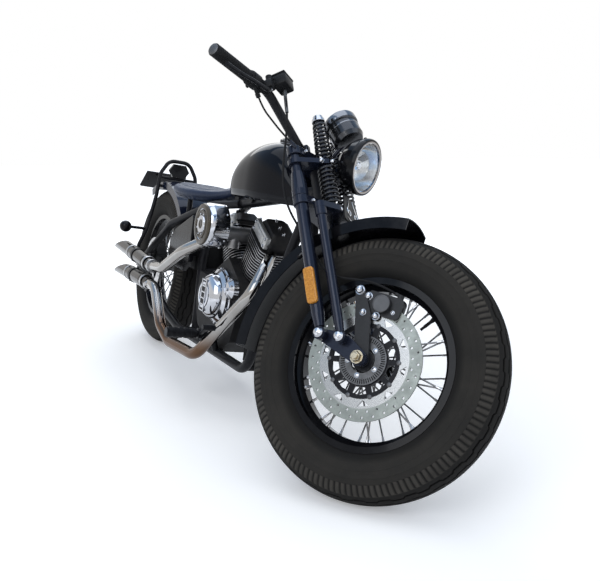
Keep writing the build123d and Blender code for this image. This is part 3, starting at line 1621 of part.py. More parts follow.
extent = Compound(children=[part.moved(Location()) for part in placed.values()]).bounding_box()
to_middle = Location((-extent.center().X, -extent.center().Y, 0))
for name, part in placed.items():
    finished = part.moved(to_middle)
    finished.label = name
    export_step(finished, f"parts/{name}.step")
print("size", extent.size, "lowest", extent.min.Z, "pitch", degrees(pitch), "nodes", len(placed))
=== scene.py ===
import json
from math import asin, atan2, copysign, cos, exp, hypot, pi, radians, sin, sqrt, tau

import bmesh
import bpy
from mathutils import Matrix, Vector


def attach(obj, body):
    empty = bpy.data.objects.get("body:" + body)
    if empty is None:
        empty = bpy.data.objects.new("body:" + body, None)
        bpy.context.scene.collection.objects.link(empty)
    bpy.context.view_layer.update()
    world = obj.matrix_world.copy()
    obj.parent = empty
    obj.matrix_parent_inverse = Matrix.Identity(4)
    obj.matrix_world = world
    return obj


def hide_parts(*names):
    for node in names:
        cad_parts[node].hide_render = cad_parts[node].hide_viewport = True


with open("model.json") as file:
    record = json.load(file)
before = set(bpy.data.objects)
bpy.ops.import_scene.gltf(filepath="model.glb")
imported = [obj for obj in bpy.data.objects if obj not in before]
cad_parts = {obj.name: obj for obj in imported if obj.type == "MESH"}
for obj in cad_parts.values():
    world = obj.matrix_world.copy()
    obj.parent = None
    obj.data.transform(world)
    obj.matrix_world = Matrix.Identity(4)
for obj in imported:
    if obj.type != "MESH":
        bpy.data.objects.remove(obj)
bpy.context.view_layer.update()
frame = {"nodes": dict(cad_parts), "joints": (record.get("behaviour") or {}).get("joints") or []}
scene = bpy.context.scene

# the machine's own directions, worked out from its joints
rake = radians(33.5)
lean = radians(10)
tyreRadius = 330
joints = {joint["name"]: joint for joint in frame["joints"]}


def placeFrom(origin, forward, sideways, up):
    # millimetres in a body's own directions, as metres in the world
    turn = Matrix((forward, sideways, up)).transposed().to_4x4()
    return Matrix.Translation(origin) @ turn @ Matrix.Scale(0.001, 4)


steerAxis, rearAxle, frontAxle = (Vector(joints[name]["axis"]).normalized()
                                  for name in ("steering", "rear_wheel_spin", "front_wheel_spin"))
rearCentre, frontCentre = (Vector(joints[name]["pos_m"]) for name in ("rear_wheel_spin", "front_wheel_spin"))
slopeForward = rearAxle.cross(steerAxis).normalized()
chassisForward = slopeForward * cos(rake) - steerAxis * sin(rake)
chassisUp = slopeForward * sin(rake) + steerAxis * cos(rake)
chassisPlace = placeFrom(rearCentre - chassisUp * tyreRadius / 1000, chassisForward, rearAxle, chassisUp)
rearWheelPlace = placeFrom(rearCentre, chassisForward, rearAxle, chassisUp)
forkPlace = placeFrom(frontCentre, frontAxle.cross(steerAxis).normalized(), frontAxle, steerAxis)
bodyPlaces = dict(chassis=chassisPlace, rear_wheel=rearWheelPlace, fork=forkPlace, front_wheel=forkPlace)
print("frame loaded")


def addObject(name, data):
    piece = bpy.data.objects.new(name, data)
    scene.collection.objects.link(piece)
    return piece


def fillSockets(tree, node, sockets):
    # each socket is set to a value, or linked to another node's output
    for socket, value in sockets.items():
        if isinstance(value, bpy.types.NodeSocket):
            tree.links.new(value, node.inputs[socket])
        else:
            node.inputs[socket].default_value = value


def addNode(tree, kind, sockets, **settings):
    node = tree.nodes.new("ShaderNode" + kind)
    for name, value in settings.items():
        setattr(node, name, value)
    fillSockets(tree, node, sockets)
    return node


# camera, lamps, sky and floor
cameraSpot = dict(place=(2946.4, -978.2, 697.6), look=(-0.86729, 0.48165, -0.12568), lens=42.64, sensor=36,
                  near=0.05)
lamps = dict(keyPanel=dict(place=(2.6, -3.4, 3.6), size=3.2, power=88),
             fillPanel=dict(place=(3.2, 2.6, 2.2), size=3.0, power=24),
             backPanel=dict(place=(-3.0, 0.6, 3.2), size=2.6, power=52),
             topPanel=dict(place=(0.2, 0.0, 4.2), size=3.6, power=58))
lampAim = Vector((0, 0, 0.45))
# one sky gives the light, the other is seen and mirrored; stops run from straight down to straight up
lightSky = dict(strength=0.42, stops=((0.0, (0.10, 0.10, 0.10)), (0.49, (0.13, 0.13, 0.13)),
                                      (0.53, (0.55, 0.60, 0.68)), (0.70, (0.42, 0.62, 1.0)),
                                      (1.0, (0.80, 0.92, 1.0))))
seenSky = dict(strength=1.0, stops=((0.0, (1, 1, 1)), (0.68, (1, 1, 1)), (0.80, (0.55, 0.74, 1.0)),
                                    (1.0, (0.42, 0.62, 0.95))))
floor = dict(size=30, grey=0.86, rough=0.85, shine=0.1, glowFrom=0.8, glowTo=4.5, glowLow=0.30, glowHigh=1.0)


def makeCamera():
    data = bpy.data.cameras.new("viewCamera")
    data.lens = cameraSpot["lens"]
    data.sensor_width = cameraSpot["sensor"]
    data.clip_start = cameraSpot["near"]
    look = (chassisPlace.to_3x3() @ Vector(cameraSpot["look"])).normalized()
    topHint = chassisPlace.to_3x3() @ Vector((0, -sin(lean), cos(lean)))
    right = look.cross(topHint).normalized()
    turn = Matrix((right, right.cross(look), -look)).transposed().to_4x4()
    scene.camera = addObject("viewCamera", data)
    scene.camera.matrix_world = Matrix.Translation(chassisPlace @ Vector(cameraSpot["place"])) @ turn


def makeLamps():
    for name, lamp in lamps.items():
        data = bpy.data.lights.new(name, "AREA")
        data.shape = "SQUARE"
        data.size = lamp["size"]
        data.energy = lamp["power"]
        piece = addObject(name, data)
        piece.location = lamp["place"]
        piece.rotation_euler = (lampAim - piece.location).to_track_quat("-Z", "Y").to_euler()


def seenShare(tree):
    # 1 for what the camera, a reflection or glass sees, and 0 for light
    rays = addNode(tree, "LightPath", {}).outputs
    seen = addNode(tree, "Math", {0: rays["Is Camera Ray"], 1: rays["Is Glossy Ray"]}, operation="ADD")
    return addNode(tree, "Math", {0: seen.outputs[0], 1: rays["Is Transmission Ray"]}, operation="ADD",
                   use_clamp=True).outputs[0]


def makeWorld():
    world = bpy.data.worlds.new("paleStudio")
    world.use_nodes = True
    tree = world.node_tree
    tree.nodes.clear()
    split = addNode(tree, "SeparateXYZ", {0: addNode(tree, "TexCoord", {}).outputs["Generated"]})
    lift = addNode(tree, "Math", {0: split.outputs["Z"], 1: 0.5, 2: 0.5}, operation="MULTIPLY_ADD")
    shades = []
    for sky in (lightSky, seenSky):
        ramp = addNode(tree, "ValToRGB", {"Fac": lift.outputs[0]})
        while len(ramp.color_ramp.elements) < len(sky["stops"]):
            ramp.color_ramp.elements.new(0.5)
        for element, (position, colour) in zip(ramp.color_ramp.elements, sky["stops"]):
            element.position = position
            element.color = (*colour, 1)
        shades.append(addNode(tree, "Background", {"Color": ramp.outputs["Color"],
                                                   "Strength": sky["strength"]}))
    mix = addNode(tree, "MixShader", {"Fac": seenShare(tree), 1: shades[0].outputs[0],
                                      2: shades[1].outputs[0]})
    addNode(tree, "OutputWorld", {"Surface": mix.outputs[0]})
    scene.world = world


def makeFloor():
    bm = bmesh.new()
    bmesh.ops.create_grid(bm, x_segments=1, y_segments=1, size=floor["size"])
    mesh = bpy.data.meshes.new("studioFloor")
    bm.to_mesh(mesh)
    bm.free()
    material = bpy.data.materials.new("palePaper")
    material.use_nodes = True
    tree = material.node_tree
    # the paper glows towards the horizon, so that it meets the white sky without an edge
    coords = addNode(tree, "TexCoord", {})
    reach = addNode(tree, "VectorMath", {0: coords.outputs["Object"]}, operation="LENGTH")
    fade = addNode(tree, "MapRange", {"Value": reach.outputs["Value"], "From Min": floor["glowFrom"],
                                      "From Max": floor["glowTo"], "To Min": floor["glowLow"],
                                      "To Max": floor["glowHigh"]}, interpolation_type="SMOOTHSTEP")
    glow = addNode(tree, "Math", {0: seenShare(tree), 1: fade.outputs["Result"]}, operation="MULTIPLY")
    fillSockets(tree, tree.nodes["Principled BSDF"],
                {"Base Color": (floor["grey"], floor["grey"], floor["grey"], 1), "Roughness": floor["rough"],
                 "Specular IOR Level": floor["shine"], "Emission Color": (1, 1, 1, 1),
                 "Emission Strength": glow.outputs[0]})
    mesh.materials.append(material)
    addObject("studioFloor", mesh)


makeCamera()
makeLamps()
makeWorld()
makeFloor()
scene.view_settings.view_transform = "Standard"
print("camera, lamps and floor ready")


def surface(colour, second, mottle, grain, metallic, rough, bump, bumpGrain, **more):
    # linear colours, the second one's share, noise sizes in 1/m, and the least and greatest roughness;
    # more may hold a coat, shine, bend (IOR), glass, a mesh attribute that gates the second colour, and zones
    return dict(colour=colour, second=second, mottle=mottle, grain=grain, metallic=metallic, rough=rough,
                bump=bump, bumpGrain=bumpGrain, **more)


finishes = dict(
    # the attribute gives the lighter brown as dust on ribs and wall, and keeps the grooves darkest as painted
    # shade
    tyreRubber=surface((0.012, 0.0115, 0.011), (0.088, 0.079, 0.067), 0.95, 9, 0, (0.66, 0.9), 0.25, 420,
                       attribute="dustAndGrooveShade", bend=1.2),
    glossBlack=surface((0.004, 0.004, 0.005), (0.012, 0.012, 0.014), 0.5, 30, 0, (0.08, 0.18), 0.01, 90,
                       coat=0.08, bend=1.2),
    satinBlack=surface((0.012, 0.012, 0.014), (0.026, 0.026, 0.028), 0.6, 60, 0.1, (0.28, 0.46), 0.05, 700,
                       bend=1.2),
    forkBlue=surface((0.01, 0.013, 0.026), (0.02, 0.025, 0.042), 0.5, 14, 0.3, (0.14, 0.28), 0.02, 300,
                     coat=0.2, bend=1.3),
    tankLacquer=surface((0.003, 0.0035, 0.006), (0.006, 0.007, 0.011), 0.4, 6, 0, (0.04, 0.1), 0.004, 40,
                        coat=0.1, bend=1.2),
    guardLacquer=surface((0.01, 0.014, 0.03), (0.018, 0.024, 0.046), 0.5, 8, 0.15, (0.09, 0.2), 0.008, 60,
                         coat=0.15, bend=1.3),
    chromePlate=surface((0.5, 0.51, 0.54), (0.36, 0.36, 0.37), 0.5, 25, 1, (0.05, 0.16), 0.01, 120),
    darkNickel=surface((0.34, 0.32, 0.31), (0.2, 0.18, 0.17), 0.6, 12, 1, (0.1, 0.24), 0.01, 120),
    stainless=surface((0.5, 0.5, 0.51), (0.34, 0.33, 0.32), 0.6, 45, 1, (0.22, 0.4), 0.03, 900),
    castAlloy=surface((0.3, 0.3, 0.31), (0.2, 0.19, 0.18), 0.6, 35, 1, (0.32, 0.55), 0.12, 900),
    engineBlack=surface((0.016, 0.016, 0.017), (0.045, 0.042, 0.038), 0.5, 30, 0.2, (0.42, 0.62), 0.15, 800,
                        bend=1.2),
    oiledSteel=surface((0.1, 0.085, 0.065), (0.22, 0.2, 0.17), 0.6, 120, 1, (0.3, 0.55), 0.08, 600),
    blackRubber=surface((0.014, 0.014, 0.015), (0.022, 0.021, 0.02), 0.6, 50, 0, (0.55, 0.78), 0.1, 1500,
                        bend=1.2),
    blackPlastic=surface((0.012, 0.012, 0.013), (0.022, 0.022, 0.022), 0.5, 80, 0, (0.34, 0.5), 0.06, 2200,
                         bend=1.2),
    navyVinyl=surface((0.02, 0.03, 0.06), (0.034, 0.048, 0.084), 0.6, 22, 0, (0.34, 0.52), 0.22, 1100,
                      bend=1.28),
    gunmetal=surface((0.036, 0.038, 0.042), (0.06, 0.06, 0.064), 0.5, 40, 0.8, (0.14, 0.28), 0.02, 500,
                     coat=0.2),
    clearLens=surface((0.86, 0.92, 1.0), (0.78, 0.86, 0.98), 0.3, 10, 0, (0.02, 0.06), 0.02, 160, glass=0.92,
                      bend=1.46),
    amberLens=surface((0.5, 0.17, 0.01), (0.82, 0.38, 0.05), 0.9, 220, 0, (0.1, 0.24), 0.25, 520, coat=0.3,
                      shine=0.3),
    redLens=surface((0.32, 0.012, 0.01), (0.5, 0.03, 0.02), 0.5, 140, 0, (0.1, 0.22), 0.22, 460, coat=0.3,
                    shine=0.3),
    plateAlloy=surface((0.55, 0.56, 0.57), (0.42, 0.42, 0.42), 0.5, 30, 0.9, (0.3, 0.48), 0.04, 300),
    springSteel=surface((0.012, 0.012, 0.014), (0.03, 0.03, 0.032), 0.5, 90, 0.3, (0.16, 0.3), 0.02, 500,
                        coat=0.3, shine=0.35),
    # the headlight reflector's colour is a painted reflection: blue in its lower half and grey above
    silverPaintedReflection=surface((0.26, 0.52, 0.86), (0.18, 0.38, 0.66), 0.4, 18, 1, (0.02, 0.07), 0.004, 90,
                         zones=(dict(body="fork", measure="Z", edge=(534, 548), ragged=10,
                                     colour=(0.4, 0.4, 0.39), rough=0.06, metallic=1.0),)),
    scrollSilver=surface((0.72, 0.73, 0.74), (0.5, 0.5, 0.5), 0.5, 40, 1, (0.18, 0.34), 0.02, 500),
    lampGlass=surface((0.97, 0.985, 1.0), (0.92, 0.95, 0.98), 0.3, 10, 0, (0.0, 0.03), 0.004, 60, glass=1.0,
                      bend=1.46),
    chromeSmoke=surface((0.2, 0.205, 0.215), (0.13, 0.13, 0.14), 0.5, 30, 1, (0.08, 0.2), 0.01, 200),
    dialBlack=surface((0.01, 0.01, 0.012), (0.018, 0.018, 0.02), 0.4, 60, 0, (0.4, 0.6), 0.03, 900,
                      shine=0.15),
    markWhite=surface((0.72, 0.72, 0.7), (0.6, 0.6, 0.58), 0.4, 90, 0, (0.4, 0.55), 0.02, 900),
    sensorSteel=surface((0.115, 0.115, 0.118), (0.06, 0.06, 0.06), 0.5, 90, 0.9, (0.35, 0.55), 0.04, 900),
    brass=surface((0.5, 0.43, 0.31), (0.3, 0.27, 0.22), 0.6, 70, 1, (0.14, 0.3), 0.03, 600),
    spokeSteel=surface((0.22, 0.22, 0.225), (0.1, 0.1, 0.1), 0.6, 60, 1, (0.2, 0.38), 0.02, 900),
    finAlloy=surface((0.34, 0.34, 0.35), (0.16, 0.155, 0.15), 0.8, 60, 1, (0.22, 0.42), 0.04, 900),
    headAlloy=surface((0.46, 0.46, 0.45), (0.26, 0.255, 0.25), 0.6, 34, 0.75, (0.34, 0.55), 0.16, 800),
    cleanerBronze=surface((0.07, 0.06, 0.047), (0.036, 0.033, 0.03), 0.6, 40, 1, (0.22, 0.42), 0.03, 700),
    exhaustChrome=surface((0.36, 0.35, 0.34), (0.24, 0.225, 0.205), 0.6, 12, 1, (0.05, 0.14), 0.01, 120,
                          zones=(dict(body="chassis", measure="Z", edge=(300, 205), ragged=40,
                                      colour=(0.115, 0.066, 0.04), rough=0.15, metallic=1.0),
                                 dict(body="chassis", measure="X", edge=(404, 392),
                                      colour=(0.04, 0.035, 0.031), rough=0.17, metallic=1.0))),
    frontDiscSteel=surface((0.25, 0.268, 0.248), (0.17, 0.18, 0.165), 0.6, 36, 0.85, (0.34, 0.52), 0.05, 1400,
                           zones=(dict(body="fork", measure="ring", edge=(114.6, 113.4),
                                       colour=(0.33, 0.33, 0.325), rough=0.26, metallic=1.0),)),
    capGrey=surface((0.105, 0.105, 0.108), (0.075, 0.075, 0.078), 0.5, 60, 0.1, (0.45, 0.6), 0.06, 900),
    caliperGrey=surface((0.026, 0.026, 0.027), (0.048, 0.048, 0.05), 0.5, 60, 0.15, (0.34, 0.5), 0.06, 900,
                        shine=0.2),
)


def addZones(tree, paint, spot, cloud, zones):
    # a zone changes the surface where a distance in a body's own directions passes from one value to another
    for zone in zones:
        place = bodyPlaces[zone["body"]]
        turn = place.to_3x3().normalized().inverted()
        local = addNode(tree, "Mapping", {"Vector": spot, "Rotation": turn.to_euler(),
                                          "Location": place.inverted().translation / 1000}).outputs["Vector"]
        if zone["measure"] == "ring":
            flat = addNode(tree, "VectorMath", {0: local, 1: (1, 0, 1)}, operation="MULTIPLY")
            measure = addNode(tree, "VectorMath", {0: flat.outputs[0]}, operation="LENGTH").outputs["Value"]
        else:
            measure = addNode(tree, "SeparateXYZ", {0: local}).outputs[zone["measure"]]
        ragged = addNode(tree, "Math", {0: cloud, 1: zone.get("ragged", 0) / 1000, 2: measure},
                         operation="MULTIPLY_ADD")
        inside = addNode(tree, "MapRange", {"Value": ragged.outputs[0], "From Min": zone["edge"][0] / 1000,
                                            "From Max": zone["edge"][1] / 1000},
                         interpolation_type="SMOOTHSTEP")
        for socket, value, kind, (old, new, out) in (("Base Color", (*zone["colour"], 1), "RGBA", (6, 7, 2)),
                                                     ("Roughness", zone["rough"], "FLOAT", (2, 3, 0)),
                                                     ("Metallic", zone["metallic"], "FLOAT", (2, 3, 0))):
            target = paint.inputs[socket]
            before = target.links[0].from_socket if target.is_linked else target.default_value
            mix = addNode(tree, "Mix", {"Factor": inside.outputs["Result"], old: before, new: value},
                          data_type=kind)
            tree.links.new(mix.outputs[out], target)


# shared by all finishes: the cloudy noise, where it mottles and dulls, the fine bump and the coat
noise = dict(detail=6, rough=0.62, mottleFrom=0.35, mottleTo=0.70, dustAndShadeLeast=0.45, sheenFrom=0.3, sheenTo=0.7,
             speckDetail=3, bumpDistance=0.001, coatRough=0.04)


def makeFinish(name):
    look = finishes[name]
    material = bpy.data.materials.new(name)
    material.use_nodes = True
    tree = material.node_tree
    paint = tree.nodes["Principled BSDF"]
    spot = addNode(tree, "TexCoord", {}).outputs["Object"]
    cloud = addNode(tree, "TexNoise", {"Vector": spot, "Scale": look["grain"], "Detail": noise["detail"],
                                       "Roughness": noise["rough"]}).outputs["Fac"]
    speck = addNode(tree, "TexNoise", {"Vector": spot, "Scale": look["bumpGrain"],
                                       "Detail": noise["speckDetail"]})
    least = noise["dustAndShadeLeast"] if "attribute" in look else 0
    share = addNode(tree, "MapRange", {"Value": cloud, "From Min": noise["mottleFrom"],
                                       "From Max": noise["mottleTo"], "To Max": look["mottle"],
                                       "To Min": least}).outputs["Result"]
    if "attribute" in look:
        layer = addNode(tree, "Attribute", {}, attribute_name=look["attribute"])
        share = addNode(tree, "Math", {0: share, 1: layer.outputs["Fac"]}, operation="MULTIPLY").outputs[0]
    blend = addNode(tree, "Mix", {"Factor": share, 6: (*look["colour"], 1), 7: (*look["second"], 1)},
                    data_type="RGBA")
    dullFrom, dullTo = look["rough"]
    sheen = addNode(tree, "MapRange", {"Value": cloud, "From Min": noise["sheenFrom"],
                                       "From Max": noise["sheenTo"], "To Min": dullFrom, "To Max": dullTo})
    bump = addNode(tree, "Bump", {"Strength": look["bump"], "Distance": noise["bumpDistance"],
                                  "Height": speck.outputs["Fac"]})
    fillSockets(tree, paint, {"Base Color": blend.outputs[2], "Roughness": sheen.outputs["Result"],
                              "Normal": bump.outputs["Normal"], "Metallic": look["metallic"],
                              "Coat Weight": look.get("coat", 0), "Coat Roughness": noise["coatRough"],
                              "Specular IOR Level": look.get("shine", 0.5), "IOR": look.get("bend", 1.5),
                              "Transmission Weight": look.get("glass", 0)})
    addZones(tree, paint, spot, cloud, look.get("zones", ()))
    return material


finish = {name: makeFinish(name) for name in finishes}
cadFinish = dict(
    tyreRubber="front_tyre rear_tyre",
    glossBlack="front_rim rear_rim headlight side_panels rear_lamps front_mudguard",
    stainless="rear_disc rear_sprocket rear_axle",
    castAlloy="rear_hub carburettor",
    forkBlue="rigid_legs spring_fork fork_yokes rockers",
    springSteel="fork_springs",
    chromePlate="fork_pivots air_cleaner engine_covers",
    exhaustChrome="exhausts",
    frontDiscSteel="front_disc",
    spokeSteel="front_spokes rear_spokes",
    caliperGrey="front_caliper rear_caliper",
    satinBlack="front_hub number_plate frame handlebar sissy_bar exhaust_bracket side_stand foot_controls",
    blackRubber="grips brake_hose throttle_cable",
    blackPlastic="bar_controls front_panel battery_box regulator_box",
    engineBlack="engine_case cylinders",
    oiledSteel="drive_chain",
    navyVinyl="seat",
    tankLacquer="fuel_tank",
    guardLacquer="rear_mudguard",
    gunmetal="speedometer fuel_cap",
    clearLens="headlight_lens",
    amberLens="reflectors",
)
for finishName, nodes in cadFinish.items():
    for node in nodes.split():
        mesh = frame["nodes"][node].data
        mesh.materials.clear()
        mesh.materials.append(finish[finishName])
print("finishes on the CAD parts")

# shapes for the modelled pieces; each is drawn in millimetres in its body's own directions
softEdge = radians(32)


def newPiece(name, bm, body, slot, *finishNames, stands=None, sharp=softEdge, place=Matrix()):
    bmesh.ops.transform(bm, matrix=bodyPlaces[body] @ place, verts=bm.verts)
    bmesh.ops.recalc_face_normals(bm, faces=bm.faces)
    mesh = bpy.data.meshes.new(name)
    bm.to_mesh(mesh)
    bm.free()
    for polygon in mesh.polygons:
        polygon.use_smooth = True
    mesh.set_sharp_from_angle(angle=sharp)
    for finishName in finishNames:
        mesh.materials.append(finish[finishName])
    piece = addObject(name, mesh)
    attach(piece, body)
    if stands:
        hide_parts(stands)
    return piece


def turnedShape(bm, profile, steps=48, material=0, place=Matrix()):
    # profile: (radius, height) from the axis out and back to it, spun about Z
    verts = [bm.verts.new((radius, 0, height)) for radius, height in profile]
    edges = [bm.edges.new(pair) for pair in zip(verts, verts[1:])]
    if profile[0][0] > 0 and profile[-1][0] > 0:
        edges.append(bm.edges.new((verts[-1], verts[0])))
    old = set(bm.faces)
    bmesh.ops.spin(bm, geom=verts + edges, cent=(0, 0, 0), axis=(0, 0, 1), angle=tau, steps=steps,
                   use_merge=True)
    points = list({vert for face in bm.faces if face not in old for vert in face.verts})
    bmesh.ops.remove_doubles(bm, verts=points, dist=0.001)
    faces = [face for face in bm.faces if face not in old]
    for face in faces:
        face.material_index = material
    points = list({vert for face in faces for vert in face.verts})
    bmesh.ops.transform(bm, matrix=place, verts=points)
    return points


def turnedPiece(name, body, slot, finishName, profile, steps, place=Matrix(), stands=None):
    bm = bmesh.new()
    turnedShape(bm, profile, steps)
    return newPiece(name, bm, body, slot, finishName, stands=stands, place=place)


def axisPlace(foot, direction):
    # puts Z along a direction, with the foot at a point
    turn = Vector(direction).normalized().to_track_quat("Z", "Y").to_matrix().to_4x4()
    return Matrix.Translation(Vector(foot)) @ turn


def patternMesh(name, bm):
    mesh = bpy.data.meshes.new(name)
    bmesh.ops.recalc_face_normals(bm, faces=bm.faces)
    bm.to_mesh(mesh)
    bm.free()
    return mesh


def stamp(bm, pattern, places):
    # repeats one small mesh at every place
    for place in places:
        start = len(bm.verts)
        bm.from_mesh(pattern)
        bm.verts.ensure_lookup_table()
        bmesh.ops.transform(bm, matrix=place, verts=bm.verts[start:])
    bpy.data.meshes.remove(pattern)


def polar(radius, angle, centre=(0, 0)):
    return centre[0] + radius * cos(angle), centre[1] + radius * sin(angle)


def bandFaces(bm, low, high):
    count = len(low)
    return [bm.faces.new((low[k], low[(k + 1) % count], high[(k + 1) % count], high[k]))
            for k in range(count)]


def joinRings(bm, rings, material=0):
    # a skin over a row of rings, closed at both ends
    faces = [face for low, high in zip(rings, rings[1:]) for face in bandFaces(bm, low, high)]
    faces += [bm.faces.new(rings[0][::-1]), bm.faces.new(rings[-1])]
    for face in faces:
        face.material_index = material


def tubeShape(bm, points, radius, sides=8, material=0):
    points = [Vector(point) for point in points]
    side = (points[1] - points[0]).normalized().orthogonal().normalized()
    rings = []
    for n, point in enumerate(points):
        way = (points[min(n + 1, len(points) - 1)] - points[max(n - 1, 0)]).normalized()
        side = (side - way * side.dot(way)).normalized()
        other = way.cross(side)
        rings.append([bm.verts.new(point + (side * x + other * y) * radius[n])
                      for x, y in (polar(1, tau * k / sides) for k in range(sides))])
    joinRings(bm, rings, material)


def smoothRows(rows, steps):
    # more rows between the given ones, on a smooth curve through them
    spread = []
    for n in range(len(rows) - 1):
        near = (rows[max(n - 1, 0)], rows[n], rows[n + 1], rows[min(n + 2, len(rows) - 1)])
        for k in range(steps):
            t = k / steps
            spread.append(tuple(0.5 * (2 * b + (c - a) * t + (2 * a - 5 * b + 4 * c - d) * t * t
                                       + (3 * b - a - 3 * c + d) * t ** 3) for a, b, c, d in zip(*near)))
    return spread + [tuple(rows[-1])]


def facesOf(made):
    return {face for vert in made["verts"] for face in vert.link_faces}


def rodShape(bm, start, end, radius, sides=16, material=0):
    way = Vector(end) - Vector(start)
    place = axisPlace(start, way) @ Matrix.Translation((0, 0, way.length / 2))
    made = bmesh.ops.create_cone(bm, cap_ends=True, segments=sides, radius1=radius, radius2=radius,
                                 depth=way.length, matrix=place)
    for face in facesOf(made):
        face.material_index = material


def blockShape(bm, centre, size, place=Matrix(), material=0, soften=0):
    matrix = place @ Matrix.Translation(centre) @ Matrix.Diagonal((*size, 1))
    faces = facesOf(bmesh.ops.create_cube(bm, size=1, matrix=matrix))
    for face in faces:
        face.material_index = material
    if soften:
        edges = list({edge for face in faces for edge in face.edges})
        bmesh.ops.bevel(bm, geom=edges, offset=soften, affect="EDGES", segments=2, profile=0.5, material=-1)


def domedBolt(bm, foot, direction, radius, height, washer=1.25, material=0):
    # a washer with a domed nut on it
    profile = [(0, -1), (radius * washer, -1), (radius * washer, 0.8), (radius * 0.98, 0.8),
               (radius, height * 0.45), (radius * 0.86, height * 0.75), (radius * 0.5, height * 0.95),
               (0, height)]
    turnedShape(bm, profile, 20, material, axisPlace(foot, direction))


def boltRing(bm, centre, ring, count, shift, direction, radius, height):
    for n in range(count):
        x, z = polar(ring, tau * (n + shift) / count, (centre[0], centre[2]))
        domedBolt(bm, (x, centre[1], z), direction, radius, height)


# tyres
# per zone, the share of the tyre's lighter brown: dust on the ribs and wall, painted shade in the grooves
tyre = dict(section=63.5, ring=266.5, ribs=128, ribFrom=44, ribTo=72, ribDepth=3.2,
            grooves=((10, 15), (28, 33)), grooveDepth=5.5, zigzag=2.4, zigzagEnd=40,
            wallLines=(84, 85.5, 100, 101), lineHeight=0.5, sharp=38,
            dustAndGrooveShade=dict(rib=1.0, tread=0.14, wall=0.40, groove=0.04, inside=0.1))


def tyreProfile():
    # (ring, side, degrees round the section), from the crown to the bead and back inside
    angles = [0]
    for first, last in tyre["grooves"]:
        angles += [first - 4, first, first + 0.9, last - 0.9, last]
    angles += [39, 43, 44, 46, 52, 58, 64, 69, 71, 72, 78, 83.5, 84, 85.5, 86, 94, 99.5, 100, 101, 101.5, 108,
               115]
    outer = [(*polar(tyre["section"], radians(angle), (tyre["ring"], 0)), angle) for angle in angles]
    bead = [(226, 52, 130), (217.5, 46.2, 140), (214, 39.7, 150), (203.3, 39.7, 160), (203.3, 31, 170)]
    inside = [(ring, side, 180) for ring, side in ((226, 43), (250, 52), (276, 53), (300, 43), (317, 22),
                                                   (321, 0))]
    return outer + bead + inside


def grooveAt(angle, phase):
    if any(first + 0.5 <= angle <= last - 0.5 for first, last in tyre["grooves"]):
        return tyre["grooveDepth"]
    if tyre["ribFrom"] < angle < tyre["ribTo"] and phase == 0:
        return tyre["ribDepth"]
    return -tyre["lineHeight"] if angle in tyre["wallLines"] else 0


def makeTyre(name, body, node):
    profile = tyreProfile()
    steps = tyre["ribs"] * 3
    bm = bmesh.new()
    bm.verts.layers.float.new("dustAndGrooveShade")
    bm.verts.layers.float.new("bend")
    dustAndShadeAt = bm.verts.layers.float["dustAndGrooveShade"]
    bendAt = bm.verts.layers.float["bend"]
    half = [bm.verts.new((ring, side, 0)) for ring, side, _ in profile]
    for vert, (_, _, angle) in zip(half, profile):
        vert[bendAt] = angle
    edges = [bm.edges.new(pair) for pair in zip(half, half[1:])]
    bmesh.ops.spin(bm, geom=half + edges, cent=(0, 0, 0), axis=(0, 1, 0), angle=tau, steps=steps,
                   use_merge=True)
    for vert in bm.verts:
        turn = atan2(vert.co.z, vert.co.x)
        angle = round(vert[bendAt], 1)
        step = round(turn / tau * steps) % steps
        if angle > 116:
            vert[dustAndShadeAt] = tyre["dustAndGrooveShade"]["inside"]
            continue
        shift = 0
        if 0 < angle < tyre["zigzagEnd"]:
            shift = tyre["zigzag"] * (1 if (step // 6) % 2 else -1) * min(1, angle / 8)
        groove = grooveAt(angle, step % 3)
        ring, side = polar(tyre["section"] - groove, radians(angle + shift), (tyre["ring"], 0))
        x, z = polar(ring, turn)
        vert.co = (x, side, z)
        # grooves get the least brown, as painted shade
        zone = "groove" if groove > 1 else "tread" if angle < tyre["ribFrom"] else "wall"
        if zone == "wall" and tyre["ribFrom"] < angle < tyre["ribTo"]:
            zone = "rib"
        vert[dustAndShadeAt] = tyre["dustAndGrooveShade"][zone]
    bmesh.ops.mirror(bm, geom=bm.verts[:] + bm.edges[:] + bm.faces[:], axis="Y", merge_dist=0.01)
    bmesh.ops.remove_doubles(bm, verts=bm.verts, dist=0.01)
    bm.verts.layers.float.remove(bm.verts.layers.float["bend"])
    newPiece(name, bm, body, "tyre", "tyreRubber", stands=node, sharp=radians(tyre["sharp"]))


makeTyre("frontTyre", "front_wheel", "front_tyre")
makeTyre("rearTyre", "rear_wheel", "rear_tyre")
print("tyres")

# fork springs: two on each rod; a stack is (low, high, low radius, high radius)
springs = dict(wire=3.7, turns=9.5, sides=10, stepsPerTurn=28, rodX=-18, rodY=60,
               stacks=dict(lowerSpring=(421.6, 551.4, 21.2, 21.2), upperSpring=(566.6, 691.6, 20.6, 15.6)))


